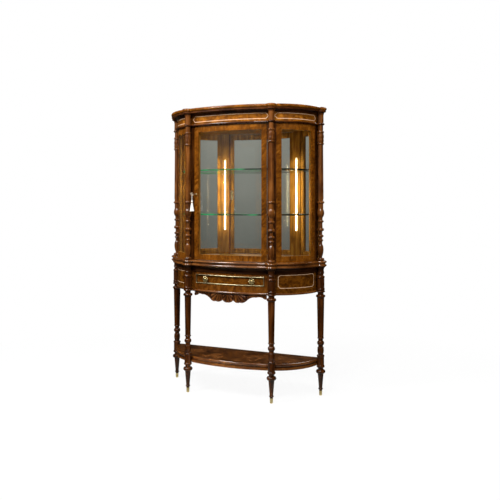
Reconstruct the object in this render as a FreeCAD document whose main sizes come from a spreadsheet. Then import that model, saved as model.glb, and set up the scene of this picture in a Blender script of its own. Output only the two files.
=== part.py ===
import FreeCAD, Part
import Sketcher
import os
import re
from math import copysign, sqrt

V = FreeCAD.Vector

# Driving sizes in millimetres. X runs to the right, Y to the back, Z up.
SIZES = {
    # plan: four columns, bowed front and side faces, fits
    "front_column_x": 316, "back_column_x": 570, "column_row_gap": 294, "front_bow": 46,
    "back_setback": 38, "face_setback": 30, "ear_radius": 42, "fit_gap": 0.3, "turning_gap": 0.02,
    # levels, from the floor up
    "frieze_bottom": 729, "frieze_height": 127, "cove_height": 41, "torus_height": 14,
    "groove_height": 11, "base_bead_height": 12, "base_fillet_height": 2, "cabinet_height": 942,
    "head_bead_height": 13, "head_height": 59, "cornice_height": 28, "top_thickness": 22,
    # turned work: a ring bulges by this share of its height, a swell by this share of its chord
    "ring_bulge": 0.32, "swell_share": 2, "facet_count": 8,
    # mouldings: how far the strips stand off the column line, and their round ears
    "base_overhang": 6, "groove_depth": 4, "base_fillet_setback": 3,
    "cove_foot_setback": 24, "cove_top_setback": 2, "cove_ear_foot": 25, "cove_ear_top": 36,
    "cove_radius": 34, "head_bead_setback": 14, "head_bead_ear": 27,
    "cornice_foot_setback": 24, "cornice_top_overhang": 10, "cornice_step": 6, "cornice_ear_foot": 22,
    "cornice_ear_top": 37, "cornice_cove_height": 18, "cornice_cove_radius": 20, "top_overhang": 18,
    "frieze_bead_height": 14, "frieze_bead_setback": 22, "head_drum_radius": 20.4,
    # stand
    "ferrule_height": 33, "ferrule_top_radius": 11, "ferrule_toe_radius": 9.6, "ferrule_wall": 1.2,
    "ferrule_sole": 3, "undertier_top": 255, "undertier_thickness": 18, "undertier_setback": 16,
    "band_height": 26, "band_setback": 19, "band_thickness": 16, "block_below": 0, "block_above": 12,
    "frieze_thickness": 22, "lower_rail_height": 45, "drawer_opening_height": 63,
    "drawer_opening_clear": 51, "corner_block_half": 20, "corner_block_depth": 28,
    "stand_top_thickness": 22, "back_thickness": 8, "apron_setback": 34, "apron_thickness": 14,
    # drawer
    "brass_bead_width": 6, "brass_bead_proud": 4, "brass_bead_depth": 14, "drawer_gap": 1,
    "drawer_recess": 6, "drawer_front_thickness": 20, "drawer_half_width": 236, "drawer_side_thickness": 10,
    "drawer_side_height": 35, "drawer_bottom_thickness": 5, "drawer_back_gap": 14, "drawer_side_play": 1,
    "runner_width": 24, "runner_height": 27, "runner_lip_width": 6, "runner_lip_height": 12,
    "knob_x": 173, "knob_plate_radius": 12, "knob_plate_thickness": 2, "knob_stem_radius": 6,
    "knob_stem_length": 8, "knob_head_radius": 21, "knob_head_thickness": 9, "knob_crown_share": 1.2,
    "knob_spigot_radius": 4, "knob_spigot_length": 12,
    # cabinet
    "post_half_width": 30, "post_depth": 32, "frame_thickness": 24, "rebate_lip": 6, "rebate_width": 6,
    "glass_thickness": 5, "glass_gap": 0.2, "side_stile_width": 36, "door_clearance": 3,
    "door_side_gap": 4, "door_stile_width": 36, "door_bottom_rail": 38, "door_top_rail": 41,
    "back_wing_inset": 14, "mirror_thickness": 4, "mirror_gap": 2, "shelf_thickness": 8, "shelf_setback": 70,
    "lower_shelf_height": 315, "upper_shelf_height": 629, "shelf_back_gap": 2, "shelf_pin_radius": 3,
    "shelf_pin_length": 20, "shelf_pin_shift": 18, "led_width": 12, "led_thickness": 4, "led_foot": 191,
    "led_length": 550, "door_stop_width": 12, "door_stop_gap": 1.5,
    # door pivots
    "pivot_inset": 8, "pivot_pin_radius": 4, "pivot_flange_radius": 7, "pivot_flange_thickness": 2.5,
    "pivot_pin_length": 20, "running_gap": 0.05, "pivot_bush_wall": 2, "pivot_bush_length": 22,
    # lock and key
    "lock_height": 463, "lock_case_depth": 12, "lock_case_half_height": 30, "lock_case_reach": 9,
    "lock_case_wall": 2, "key_cavity_radius": 7, "bolt_height": 10, "bolt_thickness": 5, "bolt_length": 12,
    "bolt_travel": 8, "bolt_gap": 0.1, "bolt_inset": 1, "escutcheon_radius": 9, "escutcheon_thickness": 2,
    "escutcheon_barrel_radius": 5, "key_stem_radius": 2.5, "key_reach": 46, "key_bow_radius": 9.5,
    "key_bow_wire": 2.2, "key_collar_radius": 4, "key_collar_length": 3, "key_bit_reach": 6,
    "key_bit_width": 4, "key_bit_thickness": 2.5,
    # tassel
    "tassel_cord_radius": 1.4, "tassel_cord_length": 31, "tassel_head_radius": 7.5, "tassel_head_height": 16,
    "tassel_neck_radius": 6, "tassel_neck_height": 5, "tassel_skirt_radius": 15, "tassel_skirt_height": 54,
}

# Turned members from the bottom up: name, kind, height (None where the frame sets it), lower and upper radius
LEG = [
    ("ankle", "plain", 8, 10.5, 10.5), ("toe_ring", "ring", 10, 16, 16), ("foot", "plain", None, 12, 20.5),
    ("foot_ring", "ring", 24, 32.6, 32.6), ("foot_neck", "plain", 15, 18.5, 18.5),
    ("under_ring", "ring", 18, 28, 28), ("block", "plain", None, 24, 24), ("over_ring", "ring", 14, 27, 27),
    ("vase", "swell", 46, 16.5, 21.5), ("vase_ring", "ring", 8, 22, 22), ("vase_neck", "plain", 12, 17, 17),
    ("ball", "ring", 34, 24.5, 24.5), ("ball_neck", "plain", 13, 17, 17),
    ("shaft_ring", "ring", 10, 22.5, 22.5),
    ("shaft", "plain", None, 20.4, 25.2), ("collar_ring", "ring", 18, 32.5, 32.5),
    ("collar_neck", "plain", 18, 20.5, 20.5), ("bead_ring", "ring", 12, 30.5, 30.5),
    ("drum_ring", "ring", 20, 29, 29), ("drum", "plain", None, 26.5, 26.5),
    ("shoulder_ring", "ring", 20, 28.5, 28.5),
    ("drum_neck", "plain", 12, 20, 20), ("cap_ring", "ring", 12, 25, 25),
]
COLUMN = [
    ("base_ring", "ring", 18, 26, 26), ("base_neck", "plain", 9, 11.5, 11.5),
    ("vase", "swell", 64, 10.5, 19.5), ("shoulder", "swell", 23, 19.5, 11.5),
    ("neck", "plain", 20, 11.5, 11.5), ("low_ring", "ring", 14, 18, 18),
    ("low_neck", "plain", 14, 11.5, 11.5), ("middle_ring", "ring", 18, 20.5, 20.5),
    ("middle_neck", "plain", 25, 11.5, 11.5), ("spool_ring", "ring", 22, 23.5, 23.5),
    ("spool", "plain", 38, 14, 12.5), ("bulb_ring", "ring", 16, 21, 21),
    ("bulb_neck", "plain", 17, 13.5, 13.5),
    ("bulb", "swell", 28, 13.5, 25), ("bulb_shoulder", "swell", 31, 25, 18.5),
    ("bulb_top", "plain", 40, 18.5, 18.5),
    ("shaft_ring", "ring", 16, 26, 26), ("shaft_neck", "plain", 15, 18.5, 18.5),
    ("shaft", "plain", None, 20.5, 17.5), ("band_ring", "ring", 17, 23.5, 23.5),
    ("carved_band", "plain", 63, 18, 18), ("cap_ring", "ring", 18, 23.5, 23.5),
    ("cap_neck", "plain", 40, 17.5, 17.5),
]
# Apron from its tip to the middle: name, distance from the middle, drop, rounding of the edge that follows
APRON = [
    ("tip", 277, 28, 20), ("curl", 252, 20.5, -60), ("hollow", 206, 18.5, -80), ("flank", 143, 37, 45),
    ("lobe", 90, 56, 40), ("notch", 40, 43, 36), ("pendant", 0, 60, None),
]

DERIVED_HEIGHTS = {
    "leg_foot_height": "undertier_top - undertier_thickness - band_height - block_below - ferrule_height"
                       " - leg_ankle_height - leg_toe_ring_height - leg_foot_ring_height"
                       " - leg_foot_neck_height - leg_under_ring_height",
    "leg_block_height": "undertier_thickness + band_height + block_below + block_above",
    "leg_shaft_height": "frieze_bottom - leg_shaft_ring_top - leg_collar_ring_height"
                        " - leg_collar_neck_height - leg_bead_ring_height",
    "leg_drum_height": "frieze_height - leg_drum_ring_height - leg_shoulder_ring_height"
                       " - leg_drum_neck_height - leg_cap_ring_height",
    "column_shaft_height": "head_bead_bottom - column_shaft_neck_top - column_band_ring_height"
                           " - column_carved_band_height - column_cap_ring_height - column_cap_neck_height",
}
LAYOUT = {
    # levels
    "frieze_top": "frieze_bottom + frieze_height",
    "base_bottom": "frieze_top + cove_height",
    "base_top": "base_bottom + torus_height + groove_height + base_bead_height + base_fillet_height",
    "head_bead_bottom": "base_top + cabinet_height",
    "head_bottom": "head_bead_bottom + head_bead_height",
    "cornice_bottom": "head_bottom + head_height",
    "top_bottom": "cornice_bottom + cornice_height",
    "top_level": "top_bottom + top_thickness",
    "undertier_bottom": "undertier_top - undertier_thickness",
    "opening_bottom": "frieze_bottom + lower_rail_height",
    "opening_top": "opening_bottom + drawer_opening_height",
    # plan, the origin in the middle of the depth
    "overall_depth": "back_setback + column_row_gap + front_bow + top_overhang",
    "back_y": "overall_depth / 2",
    "back_front_y": "back_y - back_thickness",
    "back_row_y": "back_y - back_setback",
    "front_row_y": "back_row_y - column_row_gap",
    "front_radius": "(front_column_x ^ 2 + front_bow ^ 2) / (2 * front_bow)",
    "front_centre_y": "front_row_y - front_bow + front_radius",
    "front_angle": "asin(front_column_x / front_radius) / 1 deg",
    "front_sine": "front_column_x / front_radius",
    "front_cosine": "sqrt(1 - front_sine ^ 2)",
    "column_step_x": "back_column_x - front_column_x",
    "side_radius": "(column_step_x ^ 2 + column_row_gap ^ 2)"
                   " / (2 * (column_row_gap * front_cosine - column_step_x * front_sine))",
    "side_centre_x": "front_column_x - side_radius * front_sine",
    "side_centre_y": "front_row_y + side_radius * front_cosine",
    "back_angle": "acos((side_centre_y - back_row_y) / side_radius) / 1 deg",
    "ring_inner": "-ear_radius",
    "board_offset": "-(ear_radius + fit_gap)",
    "back_half_width": "side_centre_x - fit_gap"
                       " + sqrt((side_radius - ear_radius) ^ 2 - (side_centre_y - back_front_y) ^ 2)",
    "back_wing_half_width": "back_column_x - back_wing_inset",
    # depths of the faces behind the column line, negative inwards
    "face": "-face_setback",
    "frieze_back": "face - frieze_thickness",
    "frame_back": "face - frame_thickness",
    "glass_front": "face - rebate_lip - glass_gap",
    "glass_back": "glass_front - glass_thickness",
    "bead_front": "glass_back - glass_gap",
    "post_back": "face - post_depth",
    # side frames
    "sight_bottom": "base_top + door_clearance + door_bottom_rail",
    "sight_top": "head_bead_bottom - door_clearance - door_top_rail",
    "side_sight_clear": "post_half_width + side_stile_width",
    "side_sight_start": "front_angle + asin(side_sight_clear / (side_radius + face)) / 1 deg",
    "side_sight_end": "back_angle - asin(side_sight_clear / (side_radius + face)) / 1 deg",
    "side_rebate_turn": "asin(rebate_width / (side_radius + face)) / 1 deg",
    "mirror_half_width": "back_column_x + post_back - mirror_gap",
    "mirror_front_y": "back_front_y - mirror_thickness",
    # door
    "door_bottom": "base_top + door_clearance",
    "door_top": "head_bead_bottom - door_clearance",
    "pivot_radius": "front_radius + face - pivot_inset",
    "door_clear": "post_half_width + door_side_gap",
    "door_angle": "front_angle - asin(door_clear / pivot_radius) / 1 deg",
    "pivot_angle": "front_angle - asin((door_clear + pivot_inset) / pivot_radius) / 1 deg",
    "pivot_x": "pivot_radius * sin(pivot_angle * 1 deg)",
    "pivot_y": "front_centre_y - pivot_radius * cos(pivot_angle * 1 deg)",
    "bush_radius": "pivot_pin_radius + running_gap",
    "bush_outer_radius": "bush_radius + pivot_bush_wall",
    "door_sight": "front_angle - asin((door_clear + door_stile_width) / pivot_radius) / 1 deg",
    "door_rebate": "door_sight + asin(rebate_width / pivot_radius) / 1 deg",
    "door_bead_turn": "asin(glass_gap / pivot_radius) / 1 deg",
    # lock, in the middle of the left stile
    "lock_angle": "asin((door_clear + door_stile_width / 2) / pivot_radius) / 1 deg - front_angle",
    "lock_x": "front_radius * sin(lock_angle * 1 deg)",
    "lock_y": "front_centre_y - front_radius * cos(lock_angle * 1 deg)",
    "lock_z": "base_top + lock_height",
    "lock_edge": "-door_stile_width / 2",
    "lock_case_front": "frame_back + lock_case_depth",
    "bolt_back": "(frame_back + lock_case_front - bolt_thickness) / 2",
    "bolt_tip": "lock_edge + bolt_inset",
    "key_bow_middle": "face + key_reach",
    "key_bow_foot_z": "lock_z - key_bow_radius",
    "loop_radius": "key_bow_wire + fit_gap + tassel_cord_radius",
    "tassel_cord_top": "key_bow_foot_z - loop_radius",
    "tassel_top": "tassel_cord_top - tassel_cord_length",
    # drawer
    "drawer_face": "face - drawer_recess",
    "drawer_front_back": "drawer_face - drawer_front_thickness",
    "opening_angle": "front_angle - asin(drawer_opening_clear / (front_radius + face)) / 1 deg",
    "bead_angle": "opening_angle - asin(brass_bead_width / (front_radius + face)) / 1 deg",
    "drawer_angle": "bead_angle - asin(drawer_gap / (front_radius + face)) / 1 deg",
    "drawer_bottom_z": "opening_bottom + brass_bead_width + drawer_gap",
    "drawer_top_z": "opening_top - brass_bead_width - drawer_gap",
    "drawer_side_bottom": "drawer_bottom_z + drawer_bottom_thickness",
    "drawer_back_y": "back_front_y - drawer_back_gap",
    "runner_top": "drawer_bottom_z - fit_gap",
    "runner_inner_x": "drawer_half_width + drawer_side_play + runner_lip_width - runner_width",
    "lip_start_y": "front_centre_y + 2 * drawer_gap"
                   " - (front_radius + drawer_front_back) * cos(drawer_angle * 1 deg)",
    "knob_angle": "asin(knob_x / (front_radius + drawer_face)) / 1 deg",
    "knob_height": "(drawer_bottom_z + drawer_top_z) / 2",
    # stand
    "spigot_radius": "ferrule_toe_radius - ferrule_wall",
    "notch_radius": "leg_block_low + fit_gap",
    "frieze_bead_bottom": "frieze_bottom - frieze_bead_height",
    "block_face": "frieze_back - corner_block_half ^ 2 / (2 * (side_radius + frieze_back)) - fit_gap",
    "base_core": "-ring_bulge * torus_height",
    "base_bead_core": "-ring_bulge * base_bead_height",
}


def add_turned_sizes(prefix, members, foot):
    """Give every turned member its named height and radii, and stack their levels upwards from foot."""
    level = foot
    for name, _kind, height, low, high in members:
        key = f"{prefix}_{name}"
        SIZES[f"{key}_low"] = low
        SIZES[f"{key}_high"] = high
        if height is None:
            LAYOUT[f"{key}_height"] = DERIVED_HEIGHTS[f"{key}_height"]
        else:
            SIZES[f"{key}_height"] = height
        LAYOUT[f"{key}_top"] = f"{level} + {key}_height"
        level = f"{key}_top"


add_turned_sizes("leg", LEG, "ferrule_height")
add_turned_sizes("column", COLUMN, "base_top")
for point, middle_distance, drop, rounding in APRON:
    SIZES[f"apron_{point}_x"] = middle_distance
    SIZES[f"apron_{point}_drop"] = drop
    if rounding is not None:
        SIZES[f"apron_{point}_round"] = rounding

doc = FreeCAD.newDocument("display_cabinet")
sheet = doc.addObject("Spreadsheet::Sheet", "Sizes")
layout = doc.addObject("App::VarSet", "Layout")


def full(expression):
    """Write an expression's plain names out as cells of the sheet or values of the layout."""
    def owner(match):
        word = match.group()
        if word in SIZES:
            return f"Sizes.{word}"
        return f"Layout.{word}" if word in LAYOUT else word
    return re.sub(r"[a-z][a-z_0-9]*", owner, expression)


def value(expression):
    return float(sheet.evalExpression(full(expression)))


for row, (name, size) in enumerate(SIZES.items(), 1):
    sheet.set(f"A{row}", name)
    sheet.set(f"B{row}", str(size))
    sheet.setAlias(f"B{row}", name)
doc.recompute()
for name in LAYOUT:
    layout.addProperty("App::PropertyFloat", name)
for name, expression in LAYOUT.items():
    layout.setExpression(name, full(expression))
doc.recompute()

NODES = []


def bind(item, **sizes):
    for size, expression in sizes.items():
        item.setExpression(size, full(expression))
    return item


def put(item, x="0", y="0", z="0", turn="0"):
    """Bind an object's place, and its turn about the vertical in degrees."""
    for axis, expression in (("x", x), ("y", y), ("z", z)):
        item.setExpression(f"Placement.Base.{axis}", full(expression))
    item.setExpression("Placement.Rotation.Angle", full(turn))
    return item


def node(item):
    NODES.append(item)
    return item


def body(name, **place):
    return put(doc.addObject("PartDesign::Body", name), **place)


def new_sketch(owner, role, name):
    sketch = owner.newObject("Sketcher::SketchObject", name)
    plane = next(feature for feature in owner.Origin.OriginFeatures if feature.Role == role)
    sketch.AttachmentSupport = (plane, [""])
    sketch.MapMode = "FlatFace"
    return sketch


def closed_sketch(owner, role, corners, name="Profile"):
    """Draw an anticlockwise outline. A third entry rounds the side that ends there, outwards if positive."""
    sketch = new_sketch(owner, role, name)
    spots = [V(value(corner[0]), value(corner[1]), 0) for corner in corners]
    starts = []
    for i, corner in enumerate(corners):
        here, there = spots[i - 1], spots[i]
        if len(corner) == 3:
            radius = value(corner[2])
            chord = there - here
            rise = abs(radius) - sqrt(max(radius * radius - chord.Length ** 2 / 4, 0))
            outwards = V(chord.y, -chord.x, 0).normalize()
            middle = (here + there) * 0.5 + outwards * copysign(rise, radius)
            side = sketch.addGeometry(Part.Arc(here, middle, there), False)
        else:
            side = sketch.addGeometry(Part.LineSegment(here, there), False)
        starts.append(1 if (sketch.getPoint(side, 1) - here).Length < 1e-6 else 2)
    for i, corner in enumerate(corners):
        following = (i + 1) % len(corners)
        end = 3 - starts[i]
        sketch.addConstraint(Sketcher.Constraint("Coincident", i, end, following, starts[following]))
        spot = (("DistanceX", corner[0], spots[i].x), ("DistanceY", corner[1], spots[i].y))
        for kind, expression, now in spot:
            number = sketch.addConstraint(Sketcher.Constraint(kind, -1, 1, i, end, now))
            sketch.setExpression(f"Constraints[{number}]", full(expression))
        if len(corner) == 3:
            number = sketch.addConstraint(Sketcher.Constraint("Radius", i, abs(value(corner[2]))))
            sketch.setExpression(f"Constraints[{number}]", full(f"abs({corner[2]})"))
    return sketch


def circle_sketch(owner, role, x, y, radius):
    sketch = new_sketch(owner, role, "Profile")
    sketch.addGeometry(Part.Circle(V(value(x), value(y), 0), V(0, 0, 1), value(radius)), False)
    for kind, expression in (("DistanceX", x), ("DistanceY", y)):
        number = sketch.addConstraint(Sketcher.Constraint(kind, -1, 1, 0, 3, value(expression)))
        sketch.setExpression(f"Constraints[{number}]", full(expression))
    number = sketch.addConstraint(Sketcher.Constraint("Radius", 0, value(radius)))
    sketch.setExpression(f"Constraints[{number}]", full(radius))
    return sketch


def revolve(owner, sketch, axis="V_Axis", angle=None):
    """Revolve all the way round, or by an angle to equal parts on both sides of the sketch."""
    turn = owner.newObject("PartDesign::Revolution", "Turn")
    turn.Profile = sketch
    turn.ReferenceAxis = (sketch, [axis])
    if angle is None:
        turn.Angle = 360
    else:
        turn.Midplane = True
        turn.setExpression("Angle", full(angle))
    return owner


def turned(name, corners, **place):
    """A solid turned about a vertical axis, from the outline of its right half."""
    piece = body(name, **place)
    return revolve(piece, closed_sketch(piece, "XZ_Plane", corners))


def spun(name, frame, z, corners):
    """A solid turned about the line that leaves a face squarely, from (depth, radius) corners."""
    x, y, angle = frame
    piece = body(name, x=x, y=y, z=z, turn=f"{angle} - 90")
    return revolve(piece, closed_sketch(piece, "XY_Plane", corners), "H_Axis")


def hoop(name, frame, depth, z, ring_radius, wire_radius, axis):
    """A ring of round wire, about the line that leaves a face squarely or one that runs along the face."""
    x, y, angle = frame
    out_x = f"{x} + ({depth}) * sin({angle} * 1 deg)"
    out_y = f"{y} - ({depth}) * cos({angle} * 1 deg)"
    piece = body(name, x=out_x, y=out_y, z=z, turn=f"{angle} - 90")
    spot = ("0", ring_radius) if axis == "H_Axis" else (ring_radius, "0")
    return revolve(piece, circle_sketch(piece, "XY_Plane", *spot, wire_radius), axis)


FRONT_ARC = ("0", "front_centre_y", "front_radius")
SIDE_ARC = ("side_centre_x", "side_centre_y", "side_radius")
FRONT_POST = ("front_column_x", "front_row_y", "front_angle")
BACK_POST = ("back_column_x", "back_row_y", "back_angle")
LOCK = ("lock_x", "lock_y", "lock_angle")
CORNERS = {"front_left": ("-front_column_x", "front_row_y", "-front_angle"), "front_right": FRONT_POST,
           "back_left": ("-back_column_x", "back_row_y", "-back_angle"), "back_right": BACK_POST}


def slab(inner, outer, low, high):
    return [(inner, low), (outer, low), (outer, high), (inner, high)]


def bowed(name, arc, start, end, profile):
    """A strip that follows a bowed face between two angles, from its section in (depth, level)."""
    x, y, radius = arc
    piece = body(name, x=x, y=y, turn=f"({start} + {end}) / 2 - 90")
    corners = [(f"{radius} + ({corner[0]})", *corner[1:]) for corner in profile]
    return revolve(piece, closed_sketch(piece, "XZ_Plane", corners), angle=f"{end} - ({start})")


def bow_board(name, offset, low, high, back):
    """A board whose edge follows the three bowed faces at an offset, with a straight back edge."""
    piece = body(name, z=low)
    joint_x = f"front_column_x + ({offset}) * front_sine"
    joint_y = f"front_row_y - ({offset}) * front_cosine"
    back_x = f"side_centre_x + sqrt((side_radius + ({offset})) ^ 2 - (side_centre_y - ({back})) ^ 2)"
    corners = [(f"-({back_x})", back), (f"-({joint_x})", joint_y, f"side_radius + ({offset})"),
               (joint_x, joint_y, f"front_radius + ({offset})"), (back_x, back, f"side_radius + ({offset})")]
    pad = piece.newObject("PartDesign::Pad", "Board")
    pad.Profile = closed_sketch(piece, "XY_Plane", corners)
    pad.setExpression("Length", full(f"{high} - ({low})"))
    return piece


def box(name, x, y, z, length, width, height):
    return put(bind(doc.addObject("Part::Box", name), Length=length, Width=width, Height=height), x=x, y=y, z=z)


def block(name, frame, inner, outer, left, right, low, high):
    """A box squared to a face: depth from inner to outer, left to right along the face."""
    x, y, angle = frame
    item = bind(doc.addObject("Part::Box", name), Length=f"{outer} - ({inner})", Width=f"{right} - ({left})",
                Height=f"{high} - ({low})")
    corner_x = f"{x} + ({inner}) * sin({angle} * 1 deg) + ({left}) * cos({angle} * 1 deg)"
    corner_y = f"{y} - ({inner}) * cos({angle} * 1 deg) + ({left}) * sin({angle} * 1 deg)"
    return put(item, x=corner_x, y=corner_y, z=low, turn=f"{angle} - 90")


def cylinder(name, radius, low, high, x="0", y="0"):
    item = bind(doc.addObject("Part::Cylinder", name), Radius=radius, Height=f"{high} - ({low})")
    return put(item, x=x, y=y, z=low)


def mirrored(name, source):
    item = doc.addObject("Part::Mirroring", name)
    item.Source = source
    item.Base = V(0, 0, 0)
    item.Normal = V(1, 0, 0)
    return item


def group(name, items):
    item = doc.addObject("Part::Compound", name)
    item.Links = items
    return item


def both_sides(name, items):
    """A group of the right-hand pieces and their mirror images."""
    right = group(f"{name}_right", items)
    return group(name, [right, mirrored(f"{name}_left", right)])


def fuse(name, items):
    item = doc.addObject("Part::MultiFuse", name)
    item.Shapes = items
    return item


def common(name, base, tool):
    item = doc.addObject("Part::Common", name)
    item.Base = base
    item.Tool = tool
    return item


def cut(name, base, *tools):
    """Cut the tools off one after the other. The last cut bears the name."""
    for number, tool in enumerate(tools, 1):
        item = doc.addObject("Part::Cut", name if number == len(tools) else f"{name}_cut_{number}")
        item.Base = base
        item.Tool = tool
        base = item
    return base


def space_behind(name, y):
    """Everything behind a plane, for trimming bowed pieces square at the back."""
    return box(name, "-2 * back_column_x", y, "0", "4 * back_column_x", "overall_depth", "top_level")


def bulge(height):
    """Radius of the arc that bulges by ring_bulge of its height."""
    return f"({height}) * (0.25 + ring_bulge ^ 2) / (2 * ring_bulge)"


def turned_outline(prefix, members, foot):
    """Outline of a stack of turned members, without the points on the axis."""
    corners = []
    level = foot
    for name, kind, *_sizes in members:
        key = f"{prefix}_{name}"
        height, low, high = f"{key}_height", f"{key}_low", f"{key}_high"
        top = f"{key}_top"
        rounding = []
        if kind == "ring":
            low = f"{low} - ring_bulge * {height}"
            high = f"{high} - ring_bulge * {height}"
            rounding = [bulge(height)]
        if kind == "swell":
            rounding = [f"swell_share * sqrt({height} ^ 2 + ({high} - {low}) ^ 2)"]
        if not corners or abs(value(corners[-1][0]) - value(low)) > 1e-6:
            corners.append((low, level))
        corners.append((high, top, *rounding))
        level = top
    return corners


def facet(owner, prefix):
    """Cut the flats of the shaft between its rings."""
    foot, top = f"{prefix}_shaft_top - {prefix}_shaft_height", f"{prefix}_shaft_top"
    flat = "cos(180 deg / facet_count)"
    low, high = f"{prefix}_shaft_low * {flat}", f"{prefix}_shaft_high * {flat}"
    outside = "2 * ear_radius"
    corners = [(low, foot), (outside, foot), (outside, top), (high, top)]
    sketch = closed_sketch(owner, "XZ_Plane", corners, "Flat")
    pocket = owner.newObject("PartDesign::Pocket", "Facet")
    pocket.Profile = sketch
    pocket.Type = "ThroughAll"
    pocket.Midplane = True
    pattern = owner.newObject("PartDesign::PolarPattern", "Facets")
    pattern.Originals = [pocket]
    axis = next(feature for feature in owner.Origin.OriginFeatures if feature.Role == "Z_Axis")
    pattern.Axis = (axis, [""])
    pattern.Angle = 360
    pattern.setExpression("Occurrences", full("facet_count"))
    owner.Tip = pattern
    return owner


def moulding(name, strip, ear, low, high):
    """A moulding round the front and sides that breaks out as a round ear at each column."""
    profile = [("ring_inner", low), *strip, ("ring_inner", high)]
    front = bowed(f"{name}_front", FRONT_ARC, "-front_angle", "front_angle", profile)
    right = bowed(f"{name}_right", SIDE_ARC, "front_angle", "90", profile)
    pieces = [front, right, mirrored(f"{name}_left", right)]
    if ear:
        for place, (x, y, _angle) in CORNERS.items():
            pieces.append(turned(f"{name}_ear_{place}", [("0", low), *ear, ("0", high)], x=x, y=y))
    return pieces


behind_object = space_behind("behind_object", "back_y")
behind_carcass = space_behind("behind_carcass", "back_front_y")

# Legs, with a spigot in a brass ferrule at the foot
leg_outline = [("0", "ferrule_sole"), ("spigot_radius", "ferrule_sole"), ("spigot_radius", "ferrule_height"),
               *turned_outline("leg", LEG, "ferrule_height"), ("0", "frieze_top")]
ferrule_outline = [("0", "0"), ("ferrule_toe_radius", "0"), ("ferrule_top_radius", "ferrule_height"),
                   ("spigot_radius + turning_gap", "ferrule_height"),
                   ("spigot_radius + turning_gap", "ferrule_sole"), ("0", "ferrule_sole")]
column_outline = [("0", "base_top"), *turned_outline("column", COLUMN, "base_top"), ("0", "head_bead_bottom")]
ferrules = []
head_drums = []
notches = []
ring_rooms = []
for place, (x, y, angle) in CORNERS.items():
    node(facet(turned(f"leg_{place}", leg_outline, x=x, y=y, turn=angle), "leg"))
    node(facet(turned(f"column_{place}", column_outline, x=x, y=y, turn=angle), "column"))
    ferrules.append(turned(f"ferrule_{place}", ferrule_outline, x=x, y=y))
    head_drums.append(cylinder(f"head_drum_{place}", "head_drum_radius", "head_bottom", "cornice_bottom",
                               x, y))
    notches.append(cylinder(f"notch_{place}", "notch_radius", "0", "frieze_bottom", x, y))
    ring_rooms.append(cylinder(f"ring_room_{place}", "leg_bead_ring_low + fit_gap", "0", "frieze_top",
                               x, y))
node(group("foot_ferrules", ferrules))
node(group("head_drums", head_drums))

# Undertier between the legs
undertier = bow_board("undertier_blank", "-undertier_setback", "undertier_bottom", "undertier_top",
                      "back_front_y")
leg_notches = group("leg_notches", notches)
node(cut("undertier_board", undertier, leg_notches))
band_profile = slab("-(band_setback + band_thickness)", "-band_setback", "undertier_bottom - band_height",
                    "undertier_bottom")
band_right = bowed("band_right", SIDE_ARC, "front_angle", "90", band_profile)
band_parts = [bowed("band_front", FRONT_ARC, "-front_angle", "front_angle", band_profile), band_right,
              mirrored("band_left", band_right)]
node(cut("undertier_bands", fuse("band_ring", band_parts), leg_notches, behind_carcass))

# Frieze of the stand: rails round the drawer opening, side panels, back rail, corner blocks
frieze_section = ("frieze_back", "face")
node(bowed("frieze_lower_rail", FRONT_ARC, "-front_angle", "front_angle",
           slab(*frieze_section, "frieze_bottom", "opening_bottom")))
node(bowed("frieze_upper_rail", FRONT_ARC, "-front_angle", "front_angle",
           slab(*frieze_section, "opening_top", "frieze_top")))
opening_stile = bowed("opening_stile", FRONT_ARC, "opening_angle", "front_angle",
                      slab(*frieze_section, "opening_bottom", "opening_top"))
node(both_sides("drawer_opening_stiles", [opening_stile]))
frieze_side = bowed("frieze_side", SIDE_ARC, "front_angle", "90",
                    slab(*frieze_section, "frieze_bottom", "frieze_top"))
node(both_sides("frieze_side_panels", [cut("frieze_side_trimmed", frieze_side, behind_carcass)]))
node(box("stand_back_rail", "-back_half_width", "back_front_y", "frieze_bottom",
         "2 * back_half_width", "back_thickness", "base_bottom - frieze_bottom"))
corner_blocks = [block(f"corner_block_{place}", frame, "block_face - corner_block_depth", "block_face",
                       "-corner_block_half", "corner_block_half", "frieze_bottom", "frieze_top")
                 for place, frame in (("front", FRONT_POST), ("back", BACK_POST))]
corner_blocks[1] = cut("corner_block_trimmed", corner_blocks[1], behind_carcass)
node(both_sides("frieze_corner_blocks", corner_blocks))
node(bow_board("stand_top_board", "board_offset", "frieze_top", "frieze_top + stand_top_thickness",
               "back_front_y"))

# Bead under the frieze, and the carved apron that hangs below it
frieze_bead_core = "-(frieze_bead_setback + ring_bulge * frieze_bead_height)"
frieze_bead = moulding("frieze_bead", [(frieze_bead_core, "frieze_bead_bottom"),
                                       (frieze_bead_core, "frieze_bottom", bulge("frieze_bead_height"))],
                       None, "frieze_bead_bottom", "frieze_bottom")
node(cut("frieze_beads", fuse("frieze_bead_ring", frieze_bead), group("leg_ring_rooms", ring_rooms),
         behind_carcass))
apron_half = [(f"apron_{point}_x", f"frieze_bead_bottom - apron_{point}_drop") for point, *_sizes in APRON]
apron_rounds = [f"apron_{point}_round" for point, *_sizes in APRON[:-1]]
apron_outline = [("-apron_tip_x", "frieze_bead_bottom"), ("-apron_tip_x", apron_half[0][1])]
for (x, z), rounding in zip(apron_half[1:], apron_rounds):
    apron_outline.append((f"-{x}", z, rounding))
for (x, z), rounding in zip(reversed(apron_half[:-1]), reversed(apron_rounds)):
    apron_outline.append((x, z, rounding))
apron_outline.append(("apron_tip_x", "frieze_bead_bottom"))
apron_blank = body("apron_blank")
apron_pad = apron_blank.newObject("PartDesign::Pad", "Silhouette")
apron_pad.Profile = closed_sketch(apron_blank, "XZ_Plane", apron_outline)
apron_pad.Midplane = True
apron_pad.setExpression("Length", full("2 * overall_depth"))
apron_strip = bowed("apron_strip", FRONT_ARC, "-front_angle", "front_angle",
                    slab("-(apron_setback + apron_thickness)", "-apron_setback",
                         "frieze_bead_bottom - 2 * apron_pendant_drop", "frieze_bead_bottom"))
node(common("carved_apron", apron_strip, apron_blank))

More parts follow.
